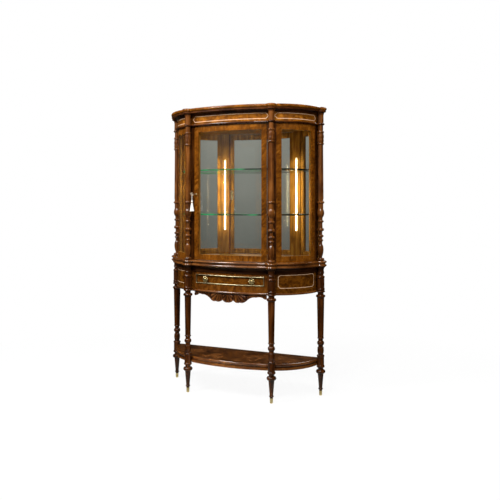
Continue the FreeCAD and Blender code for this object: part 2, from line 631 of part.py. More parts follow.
# Waist cove and base moulding
cove_strip = [("-cove_foot_setback", "frieze_top"), ("-cove_top_setback", "base_bottom", "-cove_radius")]
cove_ear = [("cove_ear_foot", "frieze_top"), ("cove_ear_top", "base_bottom", "-cove_radius")]
cove = moulding("waist", cove_strip, cove_ear, "frieze_top", "base_bottom")
node(cut("waist_cove", fuse("waist_ring", cove), behind_object))


def base_section(reach):
    torus, bead = f"{reach} + base_core", f"{reach} + base_bead_core"
    torus_top = "base_bottom + torus_height"
    groove_top = f"{torus_top} + groove_height"
    bead_top = f"{groove_top} + base_bead_height"
    return [(torus, "base_bottom"), (torus, torus_top, bulge("torus_height")),
            (f"{torus} - groove_depth", torus_top), (f"{torus} - groove_depth", groove_top),
            (bead, groove_top), (bead, bead_top, bulge("base_bead_height")),
            (f"{bead} - base_fillet_setback", bead_top), (f"{bead} - base_fillet_setback", "base_top")]


base = moulding("base", base_section("base_overhang"), base_section("ear_radius"), "base_bottom", "base_top")
node(cut("base_moulding", fuse("base_ring", base), behind_object))
node(bow_board("cabinet_floor", "board_offset", "base_top - stand_top_thickness", "base_top", "back_front_y"))

# Head: bead, frieze panels, cornice and top board


def bead_section(reach, low, high):
    core = f"{reach} - ring_bulge * ({high} - {low})"
    return [(core, low), (core, high, bulge(f"{high} - {low}"))]


head_levels = ("head_bead_bottom", "head_bottom")
head_bead = moulding("head", bead_section("-head_bead_setback", *head_levels),
                     bead_section("head_bead_ear", *head_levels), *head_levels)
node(cut("head_bead", fuse("head_ring", head_bead), behind_object))
node(bow_board("ceiling_board", "board_offset", *head_levels, "back_front_y"))
node(bowed("head_front_panel", FRONT_ARC, "-front_angle", "front_angle",
           slab(*frieze_section, "head_bottom", "cornice_bottom")))
head_side = bowed("head_side", SIDE_ARC, "front_angle", "90",
                  slab(*frieze_section, "head_bottom", "cornice_bottom"))
node(both_sides("head_side_panels", [cut("head_side_trimmed", head_side, behind_carcass)]))


def cornice_section(foot, top):
    cove_top = "cornice_bottom + cornice_cove_height"
    return [(foot, "cornice_bottom"), (f"{top} - cornice_step", cove_top, "-cornice_cove_radius"),
            (top, cove_top), (top, "top_bottom")]


cornice = moulding("cornice_part", cornice_section("-cornice_foot_setback", "cornice_top_overhang"),
                   cornice_section("cornice_ear_foot", "cornice_ear_top"), "cornice_bottom", "top_bottom")
node(cut("cornice", fuse("cornice_ring", cornice), behind_object))
top_levels = ("top_bottom", "top_level")
top = moulding("top_part", bead_section("top_overhang", *top_levels), bead_section("ear_radius", *top_levels),
               *top_levels)
top.append(bow_board("top_middle", "-face_setback", *top_levels, "back_y"))
node(cut("top_board", fuse("top_ring", top), behind_object))

# Posts behind the columns, back panel and mirror
front_post = block("front_post", FRONT_POST, "post_back", "face", "-post_half_width", "post_half_width",
                   "base_top", "head_bead_bottom")
back_post_blank = block("back_post_blank", BACK_POST, "post_back", "face", "-post_half_width",
                        "2 * post_half_width", "base_top", "head_bead_bottom")
back_post = cut("back_post", back_post_blank, behind_carcass)
bolt_mortise = block("bolt_mortise", LOCK, "bolt_back - bolt_travel / 2",
                     "bolt_back + bolt_thickness + bolt_travel / 2", "bolt_tip - 2 * bolt_travel", "lock_edge",
                     "lock_z - bolt_height", "lock_z + bolt_height")
lock_post = cut("lock_post", mirrored("left_front_post", front_post), bolt_mortise)
node(group("cabinet_posts", [front_post, back_post, lock_post, mirrored("left_back_post", back_post)]))
back_middle = box("back_middle", "-back_half_width", "back_front_y", "base_bottom",
                  "2 * back_half_width", "back_thickness", "cornice_bottom - base_bottom")
back_wings = box("back_wings", "-back_wing_half_width", "back_front_y", "base_top",
                 "2 * back_wing_half_width", "back_thickness", "cabinet_height")
node(fuse("back_panel", [back_middle, back_wings]))
node(box("mirror", "-mirror_half_width", "mirror_front_y", "base_top",
         "2 * mirror_half_width", "mirror_thickness", "cabinet_height"))

# Side frames: stiles against the posts, rails, glass behind a lip, glazing beads
frame_section = ("frame_back", "face")
side_rebate = bowed("side_rebate", SIDE_ARC, "side_sight_start - side_rebate_turn",
                    "side_sight_end + side_rebate_turn",
                    slab("2 * frame_back", "face - rebate_lip", "sight_bottom - rebate_width",
                         "sight_top + rebate_width"))
stile_levels = ("base_top", "head_bead_bottom")
front_stile = bowed("front_stile", SIDE_ARC, "front_angle", "side_sight_start",
                    slab(*frame_section, *stile_levels))
back_stile = bowed("back_stile", SIDE_ARC, "side_sight_end", "back_angle",
                   slab(*frame_section, *stile_levels))
node(both_sides("side_frame_stiles", [cut("front_side_stile", front_stile, front_post, side_rebate),
                                      cut("back_side_stile", back_stile, back_post, side_rebate)]))
side_rails = [bowed(f"side_rail_{name}", SIDE_ARC, "side_sight_start", "side_sight_end",
                    slab(*frame_section, low, high))
              for name, low, high in (("bottom", "base_top", "sight_bottom"),
                                      ("top", "sight_top", "head_bead_bottom"))]
node(both_sides("side_frame_rails", [cut(f"{rail.Name}_rebated", rail, side_rebate) for rail in side_rails]))


def glazing(name, arc, start, end, turn, play):
    """Glass in a rebate, and the four beads that hold it, set in by a little play."""
    low, high = "sight_bottom - rebate_width + glass_gap", "sight_top + rebate_width - glass_gap"
    outer_start, outer_end = f"{start} - {turn} + {play}", f"{end} + {turn} - {play}"
    pane = bowed(f"{name}_pane", arc, outer_start, outer_end, slab("glass_back", "glass_front", low, high))
    section = ("frame_back", "bead_front")
    spans = {"left": (outer_start, start, low, high), "right": (end, outer_end, low, high),
             "bottom": (start, end, low, "sight_bottom"), "top": (start, end, "sight_top", high)}
    beads = [bowed(f"{name}_bead_{side}", arc, first, last, slab(*section, bottom, upper))
             for side, (first, last, bottom, upper) in spans.items()]
    return pane, beads


side_pane, side_beads = glazing("side", SIDE_ARC, "side_sight_start", "side_sight_end", "side_rebate_turn",
                                "door_bead_turn")
node(both_sides("side_glass", [side_pane]))
node(both_sides("side_glazing_beads", side_beads))

# Shelves on pins, light strips and door stop
shelves = []
for name in ("lower", "upper"):
    level = f"base_top + {name}_shelf_height"
    shelves.append(bow_board(f"{name}_glass_shelf", "-shelf_setback", level, f"{level} + shelf_thickness",
                             "mirror_front_y - shelf_back_gap"))
node(group("glass_shelves", shelves))
pins = []
for name in ("lower", "upper"):
    for place, frame in (("front", FRONT_POST), ("back", BACK_POST)):
        x, y, angle = frame
        shift = "shelf_pin_shift" if place == "front" else "-shelf_pin_shift"
        pin_frame = (f"{x} + {shift} * cos({angle} * 1 deg)", f"{y} + {shift} * sin({angle} * 1 deg)", angle)
        pins.append(spun(f"{name}_{place}_pin", pin_frame, f"base_top + {name}_shelf_height - shelf_pin_radius",
                         slab("post_back - shelf_pin_length", "post_back", "0", "shelf_pin_radius")))
node(both_sides("shelf_pins", pins))
node(both_sides("led_strips", [block("led_strip", FRONT_POST, "post_back - led_thickness", "post_back",
                                     "-led_width / 2", "led_width / 2", "base_top + led_foot",
                                     "base_top + led_foot + led_length")]))
stop_strip = block("stop_strip", FRONT_POST, "post_back", "frame_back - door_stop_gap",
                   "-post_half_width - door_stop_width", "-post_half_width", *stile_levels)
node(mirrored("door_stop", stop_strip))

# Door: stiles and rails with a rebate, glass and beads, turning on pins at the right
door_rebate_room = bowed("door_rebate_room", FRONT_ARC, "-door_rebate", "door_rebate",
                         slab("2 * frame_back", "face - rebate_lip", "sight_bottom - rebate_width",
                              "sight_top + rebate_width"))
door_levels = ("door_bottom", "door_top")
lock_stile = bowed("lock_stile_blank", FRONT_ARC, "-door_angle", "-door_sight",
                   slab(*frame_section, *door_levels))
hinge_stile = bowed("hinge_stile_blank", FRONT_ARC, "door_sight", "door_angle",
                    slab(*frame_section, *door_levels))
case_room = block("case_room", LOCK, "2 * frame_back", "lock_case_front", "2 * lock_edge",
                  "lock_case_reach + turning_gap", "lock_z - lock_case_half_height - turning_gap",
                  "lock_z + lock_case_half_height + turning_gap")
barrel_radius = "escutcheon_barrel_radius + turning_gap"
barrel_room = spun("barrel_room", LOCK, "lock_z", slab("lock_case_front", "0", "0", barrel_radius))
node(cut("door_lock_stile", lock_stile, door_rebate_room, case_room, barrel_room))
bush_rooms = [cylinder(f"bush_room_{end}", "bush_outer_radius + turning_gap", low, high, "pivot_x", "pivot_y")
              for end, low, high in (("bottom", "door_bottom", "door_bottom + pivot_bush_length"),
                                     ("top", "door_top - pivot_bush_length", "door_top"))]
node(cut("door_hinge_stile", hinge_stile, door_rebate_room, *bush_rooms))
door_rails = [bowed(f"door_rail_{name}", FRONT_ARC, "-door_sight", "door_sight",
                    slab(*frame_section, low, high))
              for name, low, high in (("bottom", "door_bottom", "sight_bottom"),
                                      ("top", "sight_top", "door_top"))]
node(group("door_rails", [cut(f"{rail.Name}_rebated", rail, door_rebate_room) for rail in door_rails]))
door_pane, door_beads = glazing("door", FRONT_ARC, "-door_sight", "door_sight", "(door_rebate - door_sight)",
                                "door_bead_turn")
door_pane.Label = "door_glass"
node(door_pane)
node(group("door_glazing_beads", door_beads))


def pivot_pin(name, foot, direction):
    """A pin on a flange, from its seat on the frame into the door."""
    levels = ["0", "pivot_flange_thickness", "pivot_pin_length"]
    corners = [("0", "0"), ("pivot_flange_radius", "0"), ("pivot_flange_radius", levels[1]),
               ("pivot_pin_radius", levels[1]), ("pivot_pin_radius", levels[2]), ("0", levels[2])]
    placed = [(radius, f"{foot} {direction} ({level})") for radius, level in corners]
    return turned(name, placed if direction == "+" else placed[::-1], x="pivot_x", y="pivot_y")


def pivot_bush(name, low, high):
    return turned(name, slab("bush_radius", "bush_outer_radius", low, high), x="pivot_x", y="pivot_y")


node(group("pivot_pins", [pivot_pin("bottom_pin", "base_top", "+"),
                          pivot_pin("top_pin", "head_bead_bottom", "-")]))
node(group("pivot_bushes", [pivot_bush("bottom_bush", "door_bottom", "door_bottom + pivot_bush_length"),
                            pivot_bush("top_bush", "door_top - pivot_bush_length", "door_top")]))

# Lock: case in the stile, sliding bolt, escutcheon, and the key with its tassel
case = block("case_blank", LOCK, "frame_back", "lock_case_front", "bolt_tip", "lock_case_reach",
             "lock_z - lock_case_half_height", "lock_z + lock_case_half_height")
cavity = spun("key_cavity", LOCK, "lock_z",
              slab("frame_back + lock_case_wall", "lock_case_front - lock_case_wall", "0", "key_cavity_radius"))
key_bore_radius = "key_stem_radius + running_gap"
key_bore = spun("key_bore", LOCK, "lock_z", slab("frame_back + lock_case_wall", "0", "0", key_bore_radius))
bolt_span = ("bolt_back - bolt_gap", "bolt_back + bolt_thickness + bolt_gap", "2 * lock_edge", "0",
             "lock_z - bolt_height / 2 - bolt_gap", "lock_z + bolt_height / 2 + bolt_gap")
node(cut("lock_case", case, cavity, key_bore, block("bolt_slot", LOCK, *bolt_span)))
node(block("lock_bolt", LOCK, "bolt_back", "bolt_back + bolt_thickness", "bolt_tip", "bolt_tip + bolt_length",
           "lock_z - bolt_height / 2", "lock_z + bolt_height / 2"))
flange_front = "face + escutcheon_thickness"
node(spun("escutcheon", LOCK, "lock_z",
          [("lock_case_front", key_bore_radius), (flange_front, key_bore_radius),
           (flange_front, "escutcheon_radius"), ("face", "escutcheon_radius"),
           ("face", "escutcheon_barrel_radius"),
           ("lock_case_front", "escutcheon_barrel_radius")]))
collar_foot = f"{flange_front} + fit_gap"
collar_top = f"{collar_foot} + key_collar_length"
key_tip = "frame_back + lock_case_wall + fit_gap"
bow_joint = "key_bow_middle - key_bow_radius"
stem = spun("key_stem", LOCK, "lock_z",
            [(key_tip, "0"), (bow_joint, "0"), (bow_joint, "key_stem_radius"),
             (collar_top, "key_stem_radius"), (collar_top, "key_collar_radius"),
             (collar_foot, "key_collar_radius"), (collar_foot, "key_stem_radius"),
             (key_tip, "key_stem_radius")])
key_bow = hoop("key_bow", LOCK, "key_bow_middle", "lock_z", "key_bow_radius", "key_bow_wire", "V_Axis")
key_bit = block("key_bit", LOCK, key_tip, f"{key_tip} + key_bit_width", "-key_bit_thickness / 2",
                "key_bit_thickness / 2", "lock_z - key_bit_reach", "lock_z")
node(fuse("key", [stem, key_bow, key_bit]))
tassel_place = {"x": "lock_x + key_bow_middle * sin(lock_angle * 1 deg)",
                "y": "lock_y - key_bow_middle * cos(lock_angle * 1 deg)"}
loop = hoop("tassel_loop", LOCK, "key_bow_middle", "key_bow_foot_z", "loop_radius", "tassel_cord_radius",
            "H_Axis")
cord = cylinder("tassel_strand", "tassel_cord_radius", "tassel_top", "tassel_cord_top",
                *tassel_place.values())
node(fuse("tassel_cord", [loop, cord]))
neck_level = "tassel_top - tassel_head_height"
skirt_level = f"{neck_level} - tassel_neck_height"
skirt_foot = f"{skirt_level} - tassel_skirt_height"
node(turned("tassel", [("0", skirt_foot), ("tassel_skirt_radius", skirt_foot),
                       ("tassel_neck_radius", skirt_level, "2 * tassel_skirt_height"),
                       ("tassel_neck_radius", neck_level), ("tassel_head_radius", neck_level),
                       ("tassel_cord_radius", "tassel_top", "tassel_head_height"), ("0", "tassel_top")],
            **tassel_place))

# Drawer: brass bead round its opening, bowed front, box on runners, two knobs
bead_outer = bowed("bead_outer", FRONT_ARC, "-opening_angle", "opening_angle",
                   slab("face - brass_bead_depth", "face + brass_bead_proud", "opening_bottom", "opening_top"))
bead_inner = bowed("bead_inner", FRONT_ARC, "-bead_angle", "bead_angle",
                   slab("2 * face", "0", "opening_bottom + brass_bead_width", "opening_top - brass_bead_width"))
node(cut("drawer_brass_bead", bead_outer, bead_inner))
drawer_face_blank = bowed("drawer_front_blank", FRONT_ARC, "-drawer_angle", "drawer_angle",
                          slab("drawer_front_back", "drawer_face", "drawer_bottom_z", "drawer_top_z"))
knobs = []
spigot_rooms = []
spigot_end = "drawer_face - knob_spigot_length"
plate_top = "drawer_face + knob_plate_thickness"
head_foot = f"{plate_top} + knob_stem_length"
head_top = f"{head_foot} + knob_head_thickness"
for side, angle in (("left", "-knob_angle"), ("right", "knob_angle")):
    frame = (f"front_radius * sin({angle} * 1 deg)", "front_centre_y - front_radius * cos(knob_angle * 1 deg)",
             angle)
    knobs.append(spun(f"knob_{side}", frame, "knob_height",
                      [(spigot_end, "0"), (head_top, "0"),
                       (head_foot, "knob_head_radius", "knob_crown_share * knob_head_radius"),
                       (head_foot, "knob_stem_radius"), (plate_top, "knob_stem_radius"),
                       (plate_top, "knob_plate_radius"), ("drawer_face", "knob_plate_radius"),
                       ("drawer_face", "knob_spigot_radius"), (spigot_end, "knob_spigot_radius")]))
    spigot_rooms.append(spun(f"spigot_room_{side}", frame, "knob_height",
                             slab(spigot_end, "0", "0", "knob_spigot_radius + turning_gap")))
node(cut("drawer_front", drawer_face_blank, *spigot_rooms))
node(group("drawer_knobs", knobs))


def inside_front(name, depth):
    """All that lies behind the bowed front at a depth."""
    return cylinder(name, f"front_radius + {depth}", "0", "top_level", "0", "front_centre_y")


box_room = inside_front("drawer_box_room", "drawer_front_back")
runner_room = inside_front("runner_room", "frieze_back")
drawer_front_y = "front_row_y - front_bow"
drawer_side_length = f"drawer_back_y - ({drawer_front_y})"
drawer_side_blank = box("drawer_side_blank", "drawer_half_width - drawer_side_thickness", drawer_front_y,
                        "drawer_side_bottom", "drawer_side_thickness", drawer_side_length, "drawer_side_height")
drawer_side = common("drawer_side", drawer_side_blank, box_room)
drawer_back = box("drawer_back", "drawer_side_thickness - drawer_half_width",
                  "drawer_back_y - drawer_side_thickness", "drawer_side_bottom",
                  "2 * (drawer_half_width - drawer_side_thickness)", "drawer_side_thickness",
                  "drawer_side_height")
node(group("drawer_box", [drawer_side, mirrored("drawer_left_side", drawer_side), drawer_back]))
bottom_blank = box("drawer_bottom_blank", "-drawer_half_width", drawer_front_y, "drawer_bottom_z",
                   "2 * drawer_half_width", drawer_side_length, "drawer_bottom_thickness")
node(common("drawer_bottom", bottom_blank, box_room))
runner_blank = box("runner_blank", "runner_inner_x", drawer_front_y, "runner_top - runner_height",
                   "runner_width", f"back_front_y - ({drawer_front_y})", "runner_height")
runner_lip = box("runner_lip", "drawer_half_width + drawer_side_play", "lip_start_y", "runner_top",
                 "runner_lip_width", "back_front_y - lip_start_y", "runner_lip_height")
runner = fuse("runner", [common("runner_foot", runner_blank, runner_room), runner_lip])
node(both_sides("drawer_runners", [runner]))

doc.recompute()
faulty = [item.Name for item in doc.Objects if {"Invalid", "Error"} & set(item.State)]
faulty += [item.Label for item in NODES if item.Shape.isNull() or not item.Shape.isValid()]
if faulty:
    raise RuntimeError(f"not built: {faulty}")
os.makedirs("parts", exist_ok=True)
for item in NODES:
    item.Shape.exportStep(f"parts/{item.Label}.step")
print(f"{len(NODES)} sub-parts, {sum(len(item.Shape.Solids) for item in NODES)} solids")
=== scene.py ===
# %% [markdown]
# # A bow-front display cabinet
# The cabinet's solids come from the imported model. This lesson dresses them: polished walnut and burl,
# brass, glass and a mirror, with carving, inlay and a key tassel modelled on top. Each step says what the
# piece is on the real cabinet, how it could be made and why it is made so.

from collections import namedtuple
from math import asin, atan2, cos, exp, pi, radians, sin, sqrt

import bmesh
import bpy
from mathutils import Matrix, Vector


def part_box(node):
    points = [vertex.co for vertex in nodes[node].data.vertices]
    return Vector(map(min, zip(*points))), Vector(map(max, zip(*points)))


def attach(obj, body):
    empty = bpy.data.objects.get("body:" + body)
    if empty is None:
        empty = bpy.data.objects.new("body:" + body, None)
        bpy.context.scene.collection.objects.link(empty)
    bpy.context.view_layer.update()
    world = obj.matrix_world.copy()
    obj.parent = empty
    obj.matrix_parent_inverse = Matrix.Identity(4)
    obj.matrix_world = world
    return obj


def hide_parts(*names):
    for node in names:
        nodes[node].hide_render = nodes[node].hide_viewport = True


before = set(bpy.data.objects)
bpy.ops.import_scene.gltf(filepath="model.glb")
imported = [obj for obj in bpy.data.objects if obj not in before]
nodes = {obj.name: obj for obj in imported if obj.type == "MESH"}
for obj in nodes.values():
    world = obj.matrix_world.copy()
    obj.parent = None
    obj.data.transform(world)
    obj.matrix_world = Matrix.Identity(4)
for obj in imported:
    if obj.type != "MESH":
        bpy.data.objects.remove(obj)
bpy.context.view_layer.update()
scene = bpy.context.scene
scene.view_settings.view_transform = "Standard"

# %% [markdown]
# The camera comes first, because everything is judged through it. It stands to the right of the cabinet
# at chest height. Tilting it down would bring the feet into the frame but make the columns lean, so it
# looks level and its lens is shifted down a little instead.

# %% Camera
CAMERA_PLACE = (1.7946, -4.0054, 1.338)
CAMERA_TURN = radians(22.88)
SENSOR_WIDTH, FOCAL_LENGTH, LENS_SHIFT = 36, 44.64, -0.0944


def new_object(name, data):
    item = bpy.data.objects.new(name, data)
    scene.collection.objects.link(item)
    return item


camera_data = bpy.data.cameras.new("camera")
camera_data.sensor_width = SENSOR_WIDTH
camera_data.lens = FOCAL_LENGTH
camera_data.shift_y = LENS_SHIFT
camera = new_object("camera", camera_data)
camera.location = CAMERA_PLACE
camera.rotation_euler = (radians(90), 0, CAMERA_TURN)
scene.camera = camera
print(f"camera at {CAMERA_PLACE}")

# %% [markdown]
# A shader could be wired node by node, but it is easier to read as a sum. A Wire wraps one output socket
# and turns arithmetic into Math nodes. A Finish is a material with one method that adds any other node,
# and short names for the most common ones.


# %% Shader helpers
class Wire:
    """An output socket that can be added, multiplied and so on."""

    def __init__(self, finish, socket):
        self.finish = finish
        self.socket = socket

    def math(self, operation, other, swapped=False):
        first, second = (other, self) if swapped else (self, other)
        return self.finish.node("Math", {"operation": operation}, {0: first, 1: second})

    def __add__(self, other):
        return self.math("ADD", other)

    def __sub__(self, other):
        return self.math("SUBTRACT", other)

    def __rsub__(self, other):
        return self.math("SUBTRACT", other, swapped=True)

    def __mul__(self, other):
        return self.math("MULTIPLY", other)

    def __pow__(self, other):
        return self.math("POWER", other)

    __radd__ = __add__
    __rmul__ = __mul__


class Finish:
    """A material, or the world, with the nodes that make its look."""

    def __init__(self, name, owner=None):
        self.owner = owner or bpy.data.materials.new(name)
        self.owner.use_nodes = True
        self.tree = self.owner.node_tree
        self.tree.nodes.clear()

    def node(self, kind, settings=None, sockets=None, output=0):
        made = self.tree.nodes.new(f"ShaderNode{kind}")
        for name, setting in (settings or {}).items():
            if name == "stops":
                set_stops(made.color_ramp, setting)
            else:
                setattr(made, name, setting)
        for key, given in (sockets or {}).items():
            self.feed(made.inputs[key], given)
        return Wire(self, made.outputs[output])

    def feed(self, socket, given):
        if isinstance(given, Wire):
            self.tree.links.new(given.socket, socket)
        else:
            socket.default_value = given

    def place(self):
        return self.node("TexCoord", output="Object")

    def axis(self, vector, letter):
        return self.node("SeparateXYZ", None, {0: vector}, letter)

    def length(self, vector):
        return self.node("VectorMath", {"operation": "LENGTH"}, {0: vector}, "Value")

    def stretched(self, vector, scale):
        return self.node("Mapping", None, {"Vector": vector, "Scale": scale})

    def noise(self, vector, scale=1.0, detail=4.0, distortion=0.0):
        sockets = {"Vector": vector, "Scale": scale, "Detail": detail, "Distortion": distortion}
        return self.node("TexNoise", None, sockets)

    def ramp(self, share, *stops):
        return self.node("ValToRGB", {"stops": stops}, {"Fac": share})

    def fade(self, value, start, end, first, last):
        """Go from first to last while a value goes from start to end."""
        sockets = {"Value": value, "From Min": start, "From Max": end, "To Min": first, "To Max": last}
        return self.node("MapRange", None, sockets)

    def bump(self, height, strength, distance):
        return self.node("Bump", None, {"Strength": strength, "Distance": distance, "Height": height})

    def surface(self, **inputs):
        """End in a Principled shader, with its sockets named in words."""
        sockets = {name.replace("_", " "): given for name, given in inputs.items()}
        self.output(self.node("BsdfPrincipled", None, sockets))
        return self.owner

    def output(self, shader):
        kind = "OutputWorld" if isinstance(self.owner, bpy.types.World) else "OutputMaterial"
        end = self.tree.nodes.new(f"ShaderNode{kind}")
        self.feed(end.inputs["Surface"], shader)


def set_stops(ramp, stops):
    """Set a colour ramp from (place, colour) pairs."""
    while len(ramp.elements) < len(stops):
        ramp.elements.new(1.0)
    for element, (place, colour) in zip(ramp.elements, stops):
        element.position = place
        element.color = (*colour, 1.0)


print("shader helpers ready")

# %% [markdown]
# The turned members and mouldings are plain walnut under a deep French polish, dark and reddish, with
# fine streaks along the grain. A picture of wood would show its seams on turned work, so the grain is
# noise read in Object coordinates: stretched for the streaks, slow for the clouds and fine for the pores,
# which also roughen and dent the polish. Each wood has four shades, from dark to pale.

# %% Walnut
UPRIGHT_GRAIN, LEVEL_GRAIN = (55.0, 55.0, 5.0), (7.0, 7.0, 70.0)
GRAIN_STEPS = (0.32, 0.46, 0.56, 0.7)
STREAK_SHARE, CLOUD_SHARE = 0.62, 0.38
PORE_ROUGHNESS = 0.16
THICK_POLISH = {"coat_index": 1.7, "shine": 0.3}
BARE_WOOD = {"coat": 0.0, "shine": 0.1}


def polished_wood(name, shades, stretch, gloss=0.2, coat=0.35, coat_index=1.5, shine=0.2):
    """Polished wood with its grain squeezed by stretch."""
    finish = Finish(name)
    place = finish.place()
    along = finish.stretched(place, stretch)
    streaks = finish.noise(along, detail=6.0, distortion=0.4)
    clouds = finish.noise(place, scale=7.0, detail=3.0, distortion=0.4)
    pores = finish.noise(along, scale=6.0, detail=5.0)
    colour = finish.ramp(streaks * STREAK_SHARE + clouds * CLOUD_SHARE, *zip(GRAIN_STEPS, shades))
    dents = finish.bump(pores, strength=0.05, distance=0.0006)
    return finish.surface(Base_Color=colour, Roughness=gloss + PORE_ROUGHNESS * pores, Normal=dents,
                          Specular_IOR_Level=shine, Coat_Weight=coat, Coat_Roughness=0.08,
                          Coat_IOR=coat_index)


# the darkest walnut is painted shade in the carving's cuts and above the bands, and partly in the waist
# cove
DARK_WALNUT = ((0.008, 0.0022, 0.0006), (0.02, 0.0058, 0.0013),
               (0.04, 0.012, 0.003), (0.08, 0.026, 0.006))
RED_WALNUT = ((0.026, 0.0072, 0.0012), (0.075, 0.022, 0.0036),
              (0.135, 0.043, 0.007), (0.22, 0.078, 0.016))
LEG_WALNUT = ((0.012, 0.003, 0.0005), (0.036, 0.0092, 0.0014),
              (0.068, 0.0185, 0.0028), (0.125, 0.038, 0.0065))
BAND_WALNUT = ((0.036, 0.01, 0.0017), (0.095, 0.029, 0.0047),
               (0.16, 0.053, 0.009), (0.24, 0.088, 0.018))
BACK_WOOD = ((0.1, 0.043, 0.01), (0.135, 0.06, 0.015),
             (0.17, 0.079, 0.021), (0.22, 0.106, 0.031))
# pale golden inner wood, partly its own colour and partly painted light from the strips
INNER_WOOD = ((0.085, 0.036, 0.005), (0.175, 0.078, 0.011),
              (0.27, 0.127, 0.02), (0.38, 0.19, 0.034))

turned_walnut = polished_wood("turned_walnut", RED_WALNUT, UPRIGHT_GRAIN, coat=0.6)
carved_walnut = polished_wood("carved_walnut", RED_WALNUT, UPRIGHT_GRAIN, gloss=0.34, coat=0.0)
leg_walnut = polished_wood("leg_walnut", LEG_WALNUT, UPRIGHT_GRAIN, coat=0.6, shine=0.12)
# dark walnut for the posts' outer faces, partly painted shade where they sit behind the columns
post_walnut = polished_wood("post_walnut", LEG_WALNUT, UPRIGHT_GRAIN)
moulded_walnut = polished_wood("moulded_walnut", BAND_WALNUT, LEVEL_GRAIN, coat=0.7, **THICK_POLISH)
head_walnut = polished_wood("head_walnut", LEG_WALNUT, LEVEL_GRAIN, coat=0.4)
band_walnut = polished_wood("band_walnut", BAND_WALNUT, LEVEL_GRAIN)
edge_walnut = polished_wood("edge_walnut", RED_WALNUT, LEVEL_GRAIN, coat=0.8, **THICK_POLISH)
# the waist cove's dark walnut is partly its own tone and partly painted shade under the base moulding
dark_cove_walnut = polished_wood("dark_cove_walnut", DARK_WALNUT, LEVEL_GRAIN, coat=0.0, shine=0.08)
# painted shade: darkest walnut for the deepest cuts of the carving and the strip above the bands
painted_shade_walnut = polished_wood("painted_shade_walnut", DARK_WALNUT, UPRIGHT_GRAIN, gloss=0.4, **BARE_WOOD)
inner_walnut = polished_wood("inner_walnut", INNER_WOOD, UPRIGHT_GRAIN, gloss=0.38, **BARE_WOOD)
back_wood = polished_wood("back_wood", BACK_WOOD, UPRIGHT_GRAIN, gloss=0.45, **BARE_WOOD)
drawer_wood = polished_wood("drawer_wood", INNER_WOOD, LEVEL_GRAIN, gloss=0.42, coat=0.0)
print("walnut ready")

# %% [markdown]
# The flat faces carry burl veneer, sawn from the knotty foot of the tree, so its figure swirls and has
# small dark eyes. Bent noise gives the swirls, a cell pattern gives the eyes, and the stretch and turn of
# both give the lay of the veneer, which leans on the stiles and stands upright on the rails.

# %% Burl
BURL_STEPS = (0.33, 0.45, 0.55, 0.67)
SWIRL_SHARE, BURL_CLOUD_SHARE, EYE_SHARE = 0.55, 0.35, 0.2
SWIRL_ROUGHNESS = 0.14


def burl_veneer(name, shades, stretch, turn=0.0, eyes=0.5):
    """Burl veneer with its figure squeezed by stretch and leaning by turn."""
    finish = Finish(name)
    place = finish.place()
    leaning = finish.node("Mapping", None, {"Vector": place, "Rotation": (0, turn, 0)})
    along = finish.stretched(leaning, stretch)
    swirls = finish.noise(along, detail=5.0, distortion=1.6)
    clouds = finish.noise(place, scale=11.0, distortion=0.8)
    flecks = finish.node("TexVoronoi", {"feature": "SMOOTH_F1"}, {"Vector": along, "Scale": 4.0})
    pores = finish.noise(along, scale=9.0)
    tone = swirls * SWIRL_SHARE + clouds * BURL_CLOUD_SHARE + flecks * (EYE_SHARE * eyes)
    colour = finish.ramp(tone, *zip(BURL_STEPS, shades))
    dents = finish.bump(pores, strength=0.03, distance=0.0004)
    return finish.surface(Base_Color=colour, Roughness=0.18 + SWIRL_ROUGHNESS * swirls, Normal=dents,
                          Specular_IOR_Level=0.12, Coat_Weight=0.12, Coat_Roughness=0.06)


GOLD_BURL = ((0.05, 0.013, 0.0008), (0.138, 0.0405, 0.0022),
             (0.252, 0.0825, 0.0051), (0.42, 0.155, 0.0128))
DRAWER_BURL = ((0.025, 0.0064, 0.0004), (0.07, 0.0203, 0.0012),
               (0.13, 0.0418, 0.0027), (0.22, 0.0795, 0.0068))
FRAME_BURL = ((0.045, 0.0125, 0.0009), (0.11, 0.033, 0.0022),
              (0.19, 0.06, 0.0045), (0.3, 0.105, 0.01))
STILE_BURL = ((0.037, 0.01, 0.0006), (0.09, 0.0262, 0.0015),
              (0.156, 0.0478, 0.0032), (0.25, 0.086, 0.0075))
RAIL_BURL = ((0.03, 0.0083, 0.0009), (0.078, 0.0225, 0.0022),
             (0.14, 0.044, 0.0045), (0.22, 0.076, 0.009))
SHELF_BURL = ((0.014, 0.004, 0.0007), (0.037, 0.0114, 0.002),
              (0.066, 0.0215, 0.0041), (0.112, 0.039, 0.0085))
PANEL_FIGURE, RAIL_FIGURE = (22.0, 22.0, 30.0), (38.0, 38.0, 16.0)
STILE_FIGURE, STILE_LEAN = (16.0, 16.0, 44.0), radians(38)
TOP_FIGURE, SHELF_FIGURE = (16.0, 16.0, 34.0), (11.0, 11.0, 11.0)

panel_burl = burl_veneer("panel_burl", GOLD_BURL, PANEL_FIGURE)
drawer_burl = burl_veneer("drawer_burl", DRAWER_BURL, PANEL_FIGURE)
rail_burl = burl_veneer("rail_burl", FRAME_BURL, RAIL_FIGURE)
frieze_burl = burl_veneer("frieze_burl", RAIL_BURL, RAIL_FIGURE)
stile_burl = burl_veneer("stile_burl", STILE_BURL, STILE_FIGURE, turn=STILE_LEAN)
top_burl = burl_veneer("top_burl", FRAME_BURL, TOP_FIGURE)
undertier_burl = burl_veneer("undertier_burl", SHELF_BURL, SHELF_FIGURE, eyes=0.7)
print("burl ready")

# %% [markdown]
# Brass is a metal, so its colour is the colour of its reflection. One even yellow would look like
# plastic. Old polished brass is duller in patches, which a slow noise on colour and roughness gives, and
# a very fine noise adds the scratches of polishing. The knobs are brighter than the lock.


